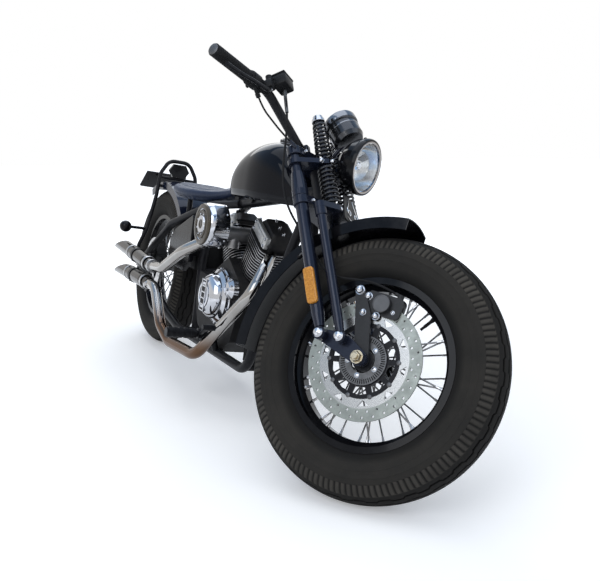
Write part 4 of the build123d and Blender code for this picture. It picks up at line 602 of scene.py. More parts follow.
def makeSpring(name, y, low, high, lowRadius, highRadius):
    wire = springs["wire"]
    steps = round(springs["turns"] * springs["stepsPerTurn"])
    rise = (high - low - 2 * wire) / steps
    bm = bmesh.new()
    place = Matrix.Translation((lowRadius, 0, low + wire)) @ Matrix.Rotation(pi / 2, 4, "X")
    ring = bmesh.ops.create_circle(bm, cap_ends=False, segments=springs["sides"], radius=wire, matrix=place)
    edges = list({edge for vert in ring["verts"] for edge in vert.link_edges})
    bmesh.ops.spin(bm, geom=ring["verts"] + edges, cent=(0, 0, 0), axis=(0, 0, 1), dvec=(0, 0, rise),
                   angle=tau * springs["turns"], steps=steps)
    bmesh.ops.holes_fill(bm, edges=[edge for edge in bm.edges if edge.is_boundary], sides=0)
    for vert in bm.verts:
        squeeze = 1 + (vert.co.z - low) / (high - low) * (highRadius / lowRadius - 1)
        vert.co.x = vert.co.x * squeeze + springs["rodX"]
        vert.co.y = vert.co.y * squeeze + y
    return newPiece(name, bm, "fork", "black_metal", "springSteel")


springPieces = [makeSpring(name + side, y, *stack)
                for side, y in (("Left", springs["rodY"]), ("Right", -springs["rodY"]))
                for name, stack in springs["stacks"].items()]
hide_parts("fork_springs")
print("springs")

# headlight: reflector, bulb, glass, bezel and band
headlight = dict(centre=(75.9, 0, 540), flutes=40, fluteDepth=0.7, boltSide=76)
lampPlace = axisPlace(headlight["centre"], (cos(rake), 0, -sin(rake)))


def makeHeadlight():
    bm = bmesh.new()
    turnedShape(bm, [(0, -71), (14, -69.5), (36, -59.5), (51.5, -46), (61.5, -31), (64, -14), (65, -4.9),
                     (66, -4.9), (66, -3.9), (63.6, -3.9), (62.4, -14), (60, -30), (50, -44.6), (35, -57.8),
                     (14, -67.6), (0, -69)], headlight["flutes"] * 2)
    for vert in bm.verts:
        ring = hypot(vert.co.x, vert.co.y)
        if 30 < ring < 63 and round(atan2(vert.co.y, vert.co.x) / tau * headlight["flutes"] * 2) % 2:
            vert.co.x *= 1 - headlight["fluteDepth"] / ring
            vert.co.y *= 1 - headlight["fluteDepth"] / ring
    # the reflector's finish paints a blue and grey reflection into its silver
    newPiece("headlightReflector", bm, "fork", "chrome", "silverPaintedReflection", place=lampPlace)
    bm = bmesh.new()
    turnedShape(bm, [(0, -69.5), (13, -69.5), (13, -60), (9, -57), (6, -55), (6, -34), (5, -28), (3, -25),
                     (0, -24)], 24)
    turnedShape(bm, [(0, -23), (8, -23.5), (11, -26), (11.6, -33), (10.8, -33), (10, -26.6), (0, -24.4)], 24,
                1)
    for side in (1, -1):
        rodShape(bm, (side * 10.6, 0, -31), (side * 13, 0, -60), 0.9, 8, 1)
    newPiece("headlightBulb", bm, "fork", "glass", "clearLens", "chromePlate", place=lampPlace)
    turnedPiece("headlightGlass", "fork", "glass", "lampGlass",
                [(0, 6), (20, 5.4), (40, 3.6), (55, 1.4), (65.4, -1), (65.4, -3.6), (55, -1.4), (40, 0.9),
                 (20, 2.7), (0, 3.3)], 72, lampPlace, "headlight_lens")
    turnedPiece("headlightBezel", "fork", "lamp_black", "darkNickel",
                [(65.2, -0.6), (65.6, 1.6), (68, 3), (71, 2.4), (72.4, 0.3), (69, 0.3), (66, -0.6)], 72,
                lampPlace)
    bm = bmesh.new()
    turnedShape(bm, [(75.2, -13), (77.2, -12.4), (77.8, -9), (77.6, -3), (76, 1.4), (72.6, 2.2), (72.6, 0.2),
                     (75.2, 0.2)], 72)
    for side in (1, -1):
        domedBolt(bm, (0, side * headlight["boltSide"], -38), (0, side, 0), 6, 8)
    newPiece("headlightBand", bm, "fork", "lamp_black", "glossBlack", place=lampPlace)


makeHeadlight()
print("headlight")

# speedometer: bezel, dial with marks, pointer and glass
speedometer = dict(foot=(43.7, 0, 634.7), tilt=radians(17), height=78, marks=41, sweep=radians(270),
                   pointer=-2.3)


def makeSpeedometer():
    tilt = speedometer["tilt"]
    place = axisPlace(speedometer["foot"], (-sin(tilt), 0, cos(tilt)))
    place = place @ Matrix.Translation((0, 0, speedometer["height"]))
    bm = bmesh.new()
    turnedShape(bm, [(44.4, -20), (48.6, -19), (49.4, -12), (49.2, -3), (47, 1.6), (43.6, 2), (42.4, 0.2),
                     (44.4, 0.2), (48.2, -4), (48.2, -17), (44.4, -18.4)], 64)
    turnedShape(bm, [(44.2, -38), (45, -37.4), (45, -34.6), (44.2, -34)], 64)
    newPiece("speedometerBezel", bm, "fork", "gunmetal", "chromeSmoke", place=place)
    bm = bmesh.new()
    turnedShape(bm, [(0, 0.2), (42.2, 0.2), (42.2, 0.7), (0, 0.7)])
    for mark in range(speedometer["marks"]):
        angle = speedometer["sweep"] * (mark / (speedometer["marks"] - 1) - 0.5)
        length = 7 if mark % 4 == 0 else 3.6
        blockShape(bm, (39.5 - length / 2, 0, 0.8), (length, 0.9, 0.3), Matrix.Rotation(angle, 4, "Z"), 1)
    blockShape(bm, (14, 0, 1.1), (38, 1.1, 0.3), Matrix.Rotation(speedometer["pointer"], 4, "Z"), 2)
    turnedShape(bm, [(0, 0.6), (5, 0.6), (4.4, 1.7), (0, 1.9)], 24, 1)
    newPiece("speedometerDial", bm, "fork", "gunmetal", "dialBlack", "markWhite", "redLens", place=place)
    turnedPiece("speedometerGlass", "fork", "glass", "lampGlass",
                [(0, 3.4), (24, 3.1), (42.6, 2.3), (42.6, 1.9), (0, 2.6)], 48, place)


makeSpeedometer()
print("speedometer")

# spoke nipples and valves; a row is (side, offset of its flange, way of its lay, side at the rim)
wheel = dict(rows=((1, 6.3, 1, 13), (1, -4.9, -1, 6), (-1, 6.3, -1, 13), (-1, -4.9, 1, 6)), spokes=10,
             lay=radians(50), hubRing=32, hubSide=34, rimRing=185.15, valveRing=187)


def makeNipples(name, body):
    bm = bmesh.new()
    turnedShape(bm, [(0, -15), (2.9, -15), (3.3, -10), (3.3, -3), (4.6, -1), (4.6, 0.6), (0, 0.6)], 7)
    pattern = patternMesh("nipplePattern", bm)
    places = []
    for row, (side, offset, lay, rimSide) in enumerate(wheel["rows"]):
        for n in range(wheel["spokes"]):
            angle = tau / wheel["spokes"] * (n + row / 4)
            x, z = polar(wheel["hubRing"], angle)
            foot = Vector((x, side * (wheel["hubSide"] + offset), z))
            x, z = polar(wheel["rimRing"], angle + lay * wheel["lay"])
            end = Vector((x, side * rimSide, z))
            places.append(axisPlace(end, end - foot))
    bm = bmesh.new()
    stamp(bm, pattern, places)
    newPiece(name, bm, body, "stainless", "stainless")


def makeValve(name, body, angle):
    place = Matrix.Rotation(radians(angle), 4, "Y") @ Matrix.Translation((0, 0, wheel["valveRing"]))
    profile = [(0, -42), (3.4, -42), (3.4, -31), (4.2, -30), (4.2, -12), (5.5, -6), (6.6, 0), (0, 0)]
    turnedPiece(name, body, "rubber", "blackRubber", profile, 14, place)


makeNipples("frontNipples", "front_wheel")
makeNipples("rearNipples", "rear_wheel")
makeValve("frontValve", "front_wheel", 66)
makeValve("rearValve", "rear_wheel", 200)

# front brake disc: a drilled ring with windows, on a black carrier with a slotted sensor ring;
# windows and slots are drawn as (radius, angle) corners round their middle
disc = dict(side=-68, thick=5, outer=145, inner=90, rows=((121, 30, 0), (135, 30, 0.5)), hole=3.1, arms=10,
            window=((94, 0), (109, 0.13), (109, -0.13)), carrierOut=91.5, carrierIn=31, buttonRing=89,
            opening=((64, -0.2), (80, -0.23), (82, 0), (80, 0.23), (64, 0.2)), sensorOut=60, sensorThick=3.6,
            sensorStep=5.5, slots=60, slot=((46, -0.026), (57, -0.022), (57, 0.022), (46, 0.026)),
            boltSide=-75.2, boltRing=38, bolts=5)


def circleLoop(radius, count, centre=(0, 0), first=0):
    return [polar(radius, tau * n / count + first, centre) for n in range(count)]


def cornerLoops(corners, count, shift=0):
    return [[polar(ring, tau * (n + shift) / count + turn) for ring, turn in corners] for n in range(count)]


def cutPlate(bm, loops, side, thick):
    # a flat ring with holes: the first loop is its rim, and the others are cut out
    edges = []
    for loop in loops:
        verts = [bm.verts.new((x, side - thick / 2, z)) for x, z in loop]
        edges += [bm.edges.new(pair) for pair in zip(verts, verts[1:] + verts[:1])]
    bmesh.ops.triangle_fill(bm, use_beauty=True, use_dissolve=False, edges=edges)
    bmesh.ops.recalc_face_normals(bm, faces=bm.faces)
    made = bmesh.ops.extrude_face_region(bm, geom=bm.faces[:], use_keep_orig=True)
    far = [item for item in made["geom"] if isinstance(item, bmesh.types.BMVert)]
    bmesh.ops.translate(bm, verts=far, vec=(0, thick, 0))


def makeFrontDisc():
    bm = bmesh.new()
    loops = [circleLoop(disc["outer"], 120), circleLoop(disc["inner"], 90)]
    for ring, count, shift in disc["rows"]:
        for n in range(count):
            angle = tau * (n + shift) / count
            loops.append(circleLoop(disc["hole"], 9, polar(ring, angle), angle))
    cutPlate(bm, loops + cornerLoops(disc["window"], disc["arms"], 0.2), disc["side"], disc["thick"])
    newPiece("frontDiscRing", bm, "front_wheel", "stainless", "frontDiscSteel", stands="front_disc")
    bm = bmesh.new()
    loops = [circleLoop(disc["carrierOut"], 90), circleLoop(disc["carrierIn"], 48)]
    cutPlate(bm, loops + cornerLoops(disc["opening"], disc["arms"]), disc["side"], disc["thick"] + 1)
    for x, z in circleLoop(disc["buttonRing"], disc["arms"], first=pi / disc["arms"]):
        turnedShape(bm, [(0, -5), (5.6, -5), (5.6, 4.4), (4, 5.2), (0, 5)], 16, 1,
                    axisPlace((x, disc["side"], z), (0, -1, 0)))
    newPiece("discCarrier", bm, "front_wheel", "black_metal", "satinBlack", "sensorSteel")
    bm = bmesh.new()
    loops = [circleLoop(disc["sensorOut"], 120), circleLoop(disc["carrierIn"], 48)]
    cutPlate(bm, loops + cornerLoops(disc["slot"], disc["slots"]), disc["side"] - disc["sensorStep"],
             disc["sensorThick"])
    newPiece("sensorPlate", bm, "front_wheel", "stainless", "sensorSteel")
    bm = bmesh.new()
    boltRing(bm, (0, disc["boltSide"], 0), disc["boltRing"], disc["bolts"], 0.3, (0, -1, 0), 5.2, 3.2)
    newPiece("discBolts", bm, "front_wheel", "chrome", "chromePlate")


makeFrontDisc()
print("wheel details")

# front brake and axle; a bolt is (foot, radius, height)
brake = dict(bolts=(((28, -86.1, 169), 9.6, 13), ((25, -86.1, 112), 6.6, 8), ((44, -78.3, 150), 8.2, 11),
                    ((52, -78.3, 96), 8, 11), ((95, -78.3, 92), 4, 4)),
             cap=(75, -92.2, 118.2), nut=(0, -112.4, 0))


def makeBrakeDetails():
    bm = bmesh.new()
    for foot, radius, height in brake["bolts"]:
        domedBolt(bm, foot, (0, -1, 0), radius, height)
    newPiece("brakeBolts", bm, "fork", "chrome", "chromePlate")
    turnedPiece("caliperCap", "fork", "black_metal", "capGrey",
                [(0, 0), (21.4, 0), (21.4, 1.2), (19.6, 2), (19.2, 1), (0, 1)], 40,
                axisPlace(brake["cap"], (0, -1, 0)))
    bm = bmesh.new()
    for profile, steps in (([(8.7, 0), (16, 0), (16, 2.4), (8.7, 2.4)], 30),
                           ([(0, 0), (13.2, 0), (13.2, 9), (11.4, 11.5), (0, 11.5)], 6),
                           ([(0, 9), (8, 9), (8, 18), (6.8, 19.5), (0, 19.5)], 24)):
        turnedShape(bm, profile, steps)
    newPiece("axleNut", bm, "fork", "stainless", "brass", place=axisPlace(brake["nut"], (0, -1, 0)))


makeBrakeDetails()
print("brake details")

# brake hose and throttle cable: one smooth line each, from end to end
bar = dict(bend=(-97, 195, 748), end=(-127, 405, 751))
barBend = Vector(bar["bend"])
barWay = (Vector(bar["end"]) - barBend).normalized()


def barSide(side):
    # where one side of the bar starts to run straight, and which way
    return Vector((barBend.x, side * barBend.y, barBend.z)), Vector((barWay.x, side * barWay.y, barWay.z))


cords = dict(hoseRadius=3.0, hoseLength=0.724, cableRadius=2.5, cableLength=0.138, caliperAngle=radians(57.6),
             banjo=(173, 30, -64), banjoReach=16, sleeve=((-59, -174.8, 676), (-54, -180, 741.6)), housing=62,
             cableDrop=(0, 0.6, -0.8), bossBelow=15, bossLength=34,
             hoseRoute=((74.6, -74, 174), (28, -82, 198), (-18, -86, 214), (-56, -87, 244), (-74, -86, 292),
                        (-84, -87, 340), (-104, -97, 380), (-116, -114, 424), (-120, -126, 468),
                        (-114, -136, 514), (-100, -146, 560), (-82, -156, 606), (-64, -170, 652),
                        (-54, -180, 700), (-54, -180, 742)),
             cableRoute=((-98, -190, 660), (-88, -164, 634), (-76, -142, 612)))


def cordCurve(name, points, radius, node):
    data = bpy.data.curves.new(name, "CURVE")
    data.dimensions = "3D"
    data.bevel_depth = radius / 1000
    data.bevel_resolution = 4
    data.resolution_u = 12
    data.use_fill_caps = True
    line = data.splines.new("NURBS")
    line.points.add(len(points) - 1)
    for point, spot in zip(line.points, points):
        point.co = (*(forkPlace @ Vector(spot)), 1)
    line.order_u = 3
    line.use_endpoint_u = True
    data.materials.append(finish["blackRubber"])
    piece = addObject(name, data)
    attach(piece, "fork")
    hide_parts(node)
    return piece


def cableBoss():
    # the boss under the right housing that the cable leaves: its two ends, and its direction
    foot, way = barSide(-1)
    drop = Vector(cords["cableDrop"])
    top = foot + way * cords["housing"] - Vector((0, 0, cords["bossBelow"]))
    return top, top + drop * cords["bossLength"], drop


def makeCords():
    angle = cords["caliperAngle"]
    out, along, aside = cords["banjo"]
    banjo = Vector((cos(angle), 0, sin(angle))) * out + Vector((sin(angle), 0, -cos(angle))) * along
    banjo.y += aside
    hoseFoot = banjo + (Vector(cords["hoseRoute"][0]) - banjo).normalized() * cords["banjoReach"]
    hose = cordCurve("frontBrakeHose", [hoseFoot, *cords["hoseRoute"]], cords["hoseRadius"], "brake_hose")
    low, high = (Vector(end) for end in cords["sleeve"])
    bm = bmesh.new()
    rodShape(bm, low, high, 4.6, 20)
    rodShape(bm, high + (low - high) * 0.2, high, 5.4, 20)
    sleeve = newPiece("hoseSleeve", bm, "fork", "stainless", "sensorSteel")
    _, cableTop, drop = cableBoss()
    cable = cordCurve("throttleCable", [cableTop, cableTop + drop * 30, *cords["cableRoute"]],
                      cords["cableRadius"], "throttle_cable")


makeCords()
print("cords")

# fork trim: spring caps, bolts on the yokes and the bracket, scroll on the front panel;
# a bolt is (x, y, z, direction, radius, height, washer) on the left side
forkTrim = dict(capHeight=692.3, scrollX=12.9, scrollZ=418, scrollRadius=1.1, scrollSteps=34, turns=1.15,
                leafFrom=10, leafLength=28, leafZ=396, leafSag=6, leafSteps=12,
                bolts=((-81, 112, 606.6, (0, 0, 1), 11, 11, 1.35), (-54, 96, 594, (1, 0.3, 0), 5, 7, 1.25),
                       (-54, 96, 444, (1, 0.3, 0), 5, 7, 1.25), (2, 60, 559, (1, 0, 0), 6, 8, 1.25),
                       (2, 60, 413, (1, 0, 0), 6, 8, 1.25), (-18, 82, 559, (0, 1, 0), 6.5, 9, 1.25)))


def scrollLine(side):
    # a spiral that runs on into a rising stem
    turns = forkTrim["turns"] * tau
    steps = forkTrim["scrollSteps"]
    for n in range(steps):
        share = n / (steps - 1)
        run = max(0, (share - 0.6) / 0.4)
        turned = min(share / 0.6, 1)
        y, z = polar(3 + 11 * turned, turned * turns, (21, forkTrim["scrollZ"]))
        yield forkTrim["scrollX"], side * (y - 26 * run + 10 * run * run), z + 34 * run


def makeForkTrim():
    bm = bmesh.new()
    for side in (1, -1):
        place = Matrix.Translation((springs["rodX"], side * springs["rodY"], forkTrim["capHeight"]))
        turnedShape(bm, [(7.2, 0), (17.4, 0), (18, 0.6), (18, 8), (14, 9), (14, 17.4), (12.6, 18), (7.2, 18)],
                    32, 0, place)
        turnedShape(bm, [(0, 14), (9.2, 14), (9.2, 19), (7, 22), (0, 22)], 6, 0, place)
    newPiece("springCaps", bm, "fork", "chrome", "chromePlate")
    bm = bmesh.new()
    for side in (1, -1):
        for x, y, z, (ahead, out, up), radius, height, washer in forkTrim["bolts"]:
            domedBolt(bm, (x, side * y, z), (ahead, side * out, up), radius, height, washer)
    newPiece("forkBolts", bm, "fork", "chrome", "chromePlate")
    bm = bmesh.new()
    last = forkTrim["scrollSteps"] - 1
    thickness = [forkTrim["scrollRadius"] * (0.7 + 1.2 * sin(pi * n / last)) for n in range(last + 1)]
    for side in (1, -1):
        tubeShape(bm, list(scrollLine(side)), thickness)
        end = forkTrim["leafSteps"] - 1
        bows = [sin(pi * n / end) for n in range(end + 1)]
        leaf = [(forkTrim["scrollX"], side * (forkTrim["leafFrom"] + forkTrim["leafLength"] * n / end),
                 forkTrim["leafZ"] - forkTrim["leafSag"] * bow) for n, bow in enumerate(bows)]
        tubeShape(bm, leaf, [0.4 + 1.8 * bow for bow in bows])
    newPiece("panelScroll", bm, "fork", "chrome", "scrollSilver")


makeForkTrim()

# grips: ribbed rubber with a bright end
grip = dict(start=78, ribs=15, bore=12.9, flutes=12, flute=0.965, overhang=6)


def makeGrips():
    length = (Vector(bar["end"]) - barBend).length + grip["overhang"] - grip["start"]
    pitch = (length - 16) / grip["ribs"]
    outline = [(grip["bore"], 0), (19, 0), (20, 1.5), (19, 4), (17, 5)]
    for foot in (6 + pitch * n for n in range(grip["ribs"])):
        outline += [(16.2, foot), (16.2, foot + 1.2), (17, foot + 2), (17.1, foot + pitch - 1)]
    outline += [(16.2, length - 9), (16.6, length - 7), (17, length - 2), (16, length),
                (grip["bore"], length)]
    bm = bmesh.new()
    for side in (1, -1):
        foot, way = barSide(side)
        place = axisPlace(foot + way * grip["start"], way)
        for vert in turnedShape(bm, outline, grip["flutes"] * 4, 0, place):
            local = place.inverted() @ vert.co
            step = round(atan2(local.y, local.x) / tau * grip["flutes"] * 4)
            if local.xy.length > 16.9 and 8 < local.z < length - 8 and step % 4 == 0:
                vert.co = place @ Vector((local.x * grip["flute"], local.y * grip["flute"], local.z))
        turnedShape(bm, [(0, length - 4), (15, length - 4), (15, length + 1.6), (12, length + 3),
                         (0, length + 3.4)], 32, 1, place)
    newPiece("gripSleeves", bm, "fork", "rubber", "blackRubber", "sensorSteel", stands="grips")


makeGrips()
print("fork trim and grips")

# fin edges, heads, air cleaner and the covers' trim; a plate is (distance out, size, softening),
# and a ring of bolts is (shift along Y from its cover, radius, count, turn as a share of the pitch)
engine = dict(crank=(850, 0, 345), bank=radians(30), headTop=296, headFoot=206, barrelFoot=118, finPitch=9.4,
              finThickness=3.6, finProud=0.5, finInset=1.6, fins=9, firstFin=5, headFins=4, firstHeadFin=4,
              halfWidth=65, halfLength=68, plateHeight=268,
              plates=((50, (112, 16, 42), 5), (56, (74, 10, 26), 4), (-47, (108, 10, 34), 4)),
              plateBolts=((-46, 256), (-46, 280), (46, 256), (46, 280)), plateBoltSide=58,
              topBolts=(-36, 0, 36), screwRing=70, screws=10, screwSide=-126,
              boltRings=dict(cleaner=(-0.4, 33.5, 8, 0.5), clutch=(50.1, 88.8, 10, 0.5),
                             timing=(0, 26, 3, 0.25), stator=(-27.7, 80.8, 8, 0)),
              barrelCorner=46.8, headCorner=26, cleaner=(824, -188, 574), clutch=(832, -150.3, 351),
              grilleSide=17, grilleHeight=104, slats=6, slatFrom=-49, slatPitch=19.6,
              timing=(934, -113, 391), stator=(866, 126.3, 345))
right, left = (0, -1, 0), (0, 1, 0)


def bankPlace(side):
    # up along a cylinder bank from the crank: side 1 is the front one, -1 the rear one
    c, s = cos(engine["bank"]), sin(engine["bank"])
    turn = Matrix(((side * c, 0, -s), (0, side, 0), (side * s, 0, c))).transposed().to_4x4()
    return Matrix.Translation(engine["crank"]) @ turn


def roundedLoop(half, long, corner, steps=6):
    spots = []
    for x, y, first in ((1, 1, 0), (-1, 1, 90), (-1, -1, 180), (1, -1, 270)):
        centre = (x * (long - corner), y * (half - corner))
        spots += [polar(corner, radians(first + 90 * n / steps), centre) for n in range(steps + 1)]
    return spots


def edgeRing(bm, half, long, corner, low, place):
    low += 0.3
    high = low + engine["finThickness"] - 0.6
    proud, inset = engine["finProud"], -engine["finInset"]
    loops = []
    for grow, height in ((proud, low), (proud, high), (inset, high), (inset, low)):
        loop = roundedLoop(half + grow, long + grow, corner + grow)
        loops.append([bm.verts.new(place @ Vector((x, y, height))) for x, y in loop])
    for one, two in zip(loops, loops[1:] + loops[:1]):
        bandFaces(bm, one, two)


def makeHeads():
    half, long = engine["halfWidth"], engine["halfLength"]
    bm = bmesh.new()
    for side in (1, -1):
        place = bankPlace(side)
        for n in range(engine["fins"]):
            edgeRing(bm, half, long, engine["barrelCorner"],
                     engine["barrelFoot"] + engine["firstFin"] + n * engine["finPitch"], place)
        for n in range(engine["headFins"]):
            edgeRing(bm, half - 2, long + 2, engine["headCorner"],
                     engine["headFoot"] + engine["firstHeadFin"] + n * engine["finPitch"], place)
    newPiece("finEdges", bm, "chassis", "aluminium", "finAlloy")
    bm = bmesh.new()
    for side in (1, -1):
        place = bankPlace(side)
        for y, size, soften in engine["plates"]:
            blockShape(bm, (0, -side * y, engine["plateHeight"]), size, place, 0, soften)
        for x, z in engine["plateBolts"]:
            domedBolt(bm, place @ Vector((x, -side * engine["plateBoltSide"], z)), right, 4.4, 5, material=1)
        for x in engine["topBolts"]:
            domedBolt(bm, place @ Vector((x, 0, engine["headTop"])), place.col[2].xyz, 5, 7, material=1)
    newPiece("headPlates", bm, "chassis", "aluminium", "headAlloy", "chromePlate")


def coverBolts(bm, cover, direction, radius, height):
    x, y, z = engine[cover]
    shift, ring, count, turn = engine["boltRings"][cover]
    boltRing(bm, (x, y + shift, z), ring, count, turn, direction, radius, height)


def makeCoverTrim():
    bm = bmesh.new()
    x, y, z = engine["cleaner"]
    for profile, steps, material in (([(60, -8), (64.6, -8), (66.2, -5), (64, -0.2), (57, 1.8), (50, 1.4),
                                       (49.4, -1), (58, -1)], 72, 1),
                                     ([(0, -2), (44, -2), (46, 0), (45, 2.4), (41, 3.2), (37, 0.6),
                                       (30, -0.4), (0, 1.6)], 64, 1),
                                     ([(0, 0), (15, 0), (15, 3.4), (12.5, 4.4), (11, 3.6), (0, 3.2)], 48, 1)):
        turnedShape(bm, profile, steps, material, axisPlace((x, y, z), right))
    coverBolts(bm, "cleaner", right, 2.6, 2.6)
    for footX, footZ in circleLoop(engine["screwRing"], engine["screws"], (x, z)):
        domedBolt(bm, (footX, engine["screwSide"], footZ), (footX - x, 0, footZ - z), 3, 3.2)
    newPiece("cleanerFace", bm, "chassis", "chrome", "chromePlate", "cleanerBronze")
    bm = bmesh.new()
    x, y, z = engine["clutch"]
    place = axisPlace((x, y, z), right)
    turnedShape(bm, [(88, -59.6), (92, -59.6), (92, -53), (88.6, -50.6), (85.8, -50.6), (85.8, -56)], 72, 0,
                place)
    coverBolts(bm, "clutch", right, 3.6, 5)
    turnedShape(bm, [(38.6, -1), (41.6, 0.4), (41.6, 2.4), (34, 2.8), (33, 0), (33, -2)], 64, 0, place)
    grille = Matrix.Translation((x, y - 1, z))
    for side in (-1, 1):
        size = (5, 7, engine["grilleHeight"])
        blockShape(bm, (side * engine["grilleSide"], 0, 0), size, grille, 0, 1.6)
    for n in range(engine["slats"]):
        height = engine["slatFrom"] + n * engine["slatPitch"]
        blockShape(bm, (0, 0, height), (34, 7, 5), grille, 0, 1.2)
    blockShape(bm, (0, 1.2, 0), (32, 4, 100), grille, 1, 1)
    x, y, z = engine["timing"]
    domedBolt(bm, (x + 10, y - 6, z), right, 5, 6)
    coverBolts(bm, "timing", right, 3, 4)
    newPiece("clutchTrim", bm, "chassis", "chrome", "chromePlate", "engineBlack")
    bm = bmesh.new()
    x, y, z = engine["stator"]
    place = axisPlace((x, y, z), left)
    turnedShape(bm, [(80, -35.6), (84, -35.6), (84, -30), (80.6, -27.8), (77.8, -27.8), (77.8, -33)], 72, 0,
                place)
    coverBolts(bm, "stator", left, 3.6, 5)
    turnedShape(bm, [(0, -2), (30, -2), (30, 1.4), (27, 2.6), (20, 1), (0, 1.6)], 64, 0, place)
    newPiece("statorTrim", bm, "chassis", "chrome", "chromePlate")


makeHeads()
makeCoverTrim()
print("engine trim")

# fuel tank: a teardrop with full shoulders over a tunnel; a section is (x, half width, height)
tank = dict(floor=676, tunnel=27, tunnelTop=22, backboneDrop=8.5, backboneFrom=792, backboneSlope=0.136,
            around=44, corner=2.5, sideShare=0.36, wallShare=0.55, hem=((1.5, 14), (5, 5), (12, 0)),
            cap=(985, 0, 853), capRibs=24, capRing=31,
            sections=((772, 62, 30), (776, 76, 52), (786, 90, 84), (806, 101, 116), (836, 107, 143),
                      (874, 110, 163), (916, 111, 176), (960, 110, 182), (1004, 102, 180), (1044, 87, 165),
                      (1078, 68, 136), (1106, 51, 100), (1128, 37, 68)))


def roundedSpot(angle, power):
    # a point on a circle that is squared off towards its corners
    c, s = cos(angle), sin(angle)
    return copysign(abs(c) ** power[0], c), copysign(abs(s) ** power[1], s)


def makeTank():
    bm = bmesh.new()
    rings = []
    floorZ, tunnel = tank["floor"], tank["tunnel"]
    flat = 2 / tank["corner"]
    for x, half, rise in smoothRows(tank["sections"], 4):
        roof = (x - tank["backboneFrom"]) * tank["backboneSlope"] - tank["backboneDrop"] + tank["tunnelTop"]
        side = rise * tank["sideShare"]
        outline = []
        for n in range(tank["around"] + 1):
            y, z = roundedSpot(pi * n / tank["around"], (flat, flat))
            outline.append((y * half, side + (rise - side) * z))
        wall = [(half, side * tank["wallShare"])]
        wall += [(half - inset, height) for inset, height in tank["hem"]] + [(tunnel, 0), (tunnel, roof)]
        outline += [(-y, z) for y, z in wall] + wall[::-1]
        rings.append([bm.verts.new((x, y, floorZ + z)) for y, z in outline])
    joinRings(bm, rings)
    newPiece("tankShell", bm, "chassis", "tank_black", "tankLacquer", stands="fuel_tank")
    bm = bmesh.new()
    turnedShape(bm, [(31.2, -2), (37, -2), (38, 1.5), (36, 3), (31.2, 3)])
    turnedShape(bm, [(18, 14), (25, 14), (26.6, 16.2), (22, 17.4), (18, 16)])
    for n in range(tank["capRibs"]):
        turn = Matrix.Rotation(tau * n / tank["capRibs"], 4, "Z")
        blockShape(bm, (tank["capRing"], 0, 8.5), (2.2, 3.4, 9), turn, 0, 0.5)
    newPiece("capRing", bm, "chassis", "chrome", "gunmetal", place=Matrix.Translation(tank["cap"]))


makeTank()
print("tank")

# saddle: a padded cover with a border and sewn channels; a section is (x, half width, low, high)
saddle = dict(sections=((226, 86, 661, 684), (246, 108, 652, 690), (290, 124, 645, 690), (340, 131, 641, 686),
                        (400, 128, 639, 682), (460, 113, 641, 679), (520, 90, 647, 680), (580, 63, 658, 687),
                        (640, 45, 676, 699), (690, 34, 694, 710)), around=40, cap=6, voxel=5, frames=20,
              pressure=4, channels=9, channelFrom=262, channelTo=520, channelDepth=3.2, channelWidth=4.5,
              border=26, borderDepth=3.8, borderWidth=4.0, topFrom=664, riseFrom=460, rise=0.24,
              ends=(240, 604), square=(0.55, 0.6))


def halfWidthAt(x):
    rows = saddle["sections"]
    for one, two in zip(rows, rows[1:]):
        if x <= two[0]:
            return one[1] + (two[1] - one[1]) * max(0, x - one[0]) / (two[0] - one[0])
    return rows[-1][1]


def swell(piece):
    # blows the pad up a little, the way stuffing does, and keeps each point within the cap
    start = [vert.co.copy() for vert in piece.data.vertices]
    cloth = piece.modifiers.new("stuffing", "CLOTH")
    cloth.settings.use_pressure = True
    cloth.settings.uniform_pressure_force = saddle["pressure"]
    cloth.settings.effector_weights.gravity = 0
    for frameNumber in range(1, saddle["frames"] + 1):
        scene.frame_set(frameNumber)
    shaped = piece.evaluated_get(bpy.context.evaluated_depsgraph_get())
    moved = [vert.co.copy() for vert in shaped.data.vertices]
    piece.modifiers.remove(cloth)
    scene.frame_set(1)
    limit = saddle["cap"] / 1000
    for vert, before, after in zip(piece.data.vertices, start, moved):
        step = after - before
        vert.co = before + (step.normalized() * limit if step.length > limit else step)


def sewnChannels(mesh):
    inverse = chassisPlace.inverted()
    first, last = saddle["channelFrom"], saddle["channelTo"]
    pitch = (last - first) / saddle["channels"]
    rear, front = saddle["ends"]
    for vert in mesh.vertices:
        spot = inverse @ vert.co
        if spot.z < saddle["topFrom"] + max(0, (spot.x - saddle["riseFrom"]) * saddle["rise"]):
            continue
        edge = min(halfWidthAt(spot.x) - abs(spot.y), spot.x - rear, front - spot.x)
        press = saddle["borderDepth"] * exp(-((edge - saddle["border"]) / saddle["borderWidth"]) ** 2)
        if edge > saddle["border"] and first - pitch < spot.x < last + pitch:
            near = (spot.x - first) % pitch
            near = min(near, pitch - near)
            press = max(press, saddle["channelDepth"] * exp(-(near / saddle["channelWidth"]) ** 2))
        spot.z -= press
        vert.co = chassisPlace @ spot


def keepShape(piece):
    # the modifiers' result becomes the piece's own mesh
    shaped = piece.evaluated_get(bpy.context.evaluated_depsgraph_get())
    mesh = bpy.data.meshes.new_from_object(shaped)
    piece.modifiers.clear()
    piece.data = mesh


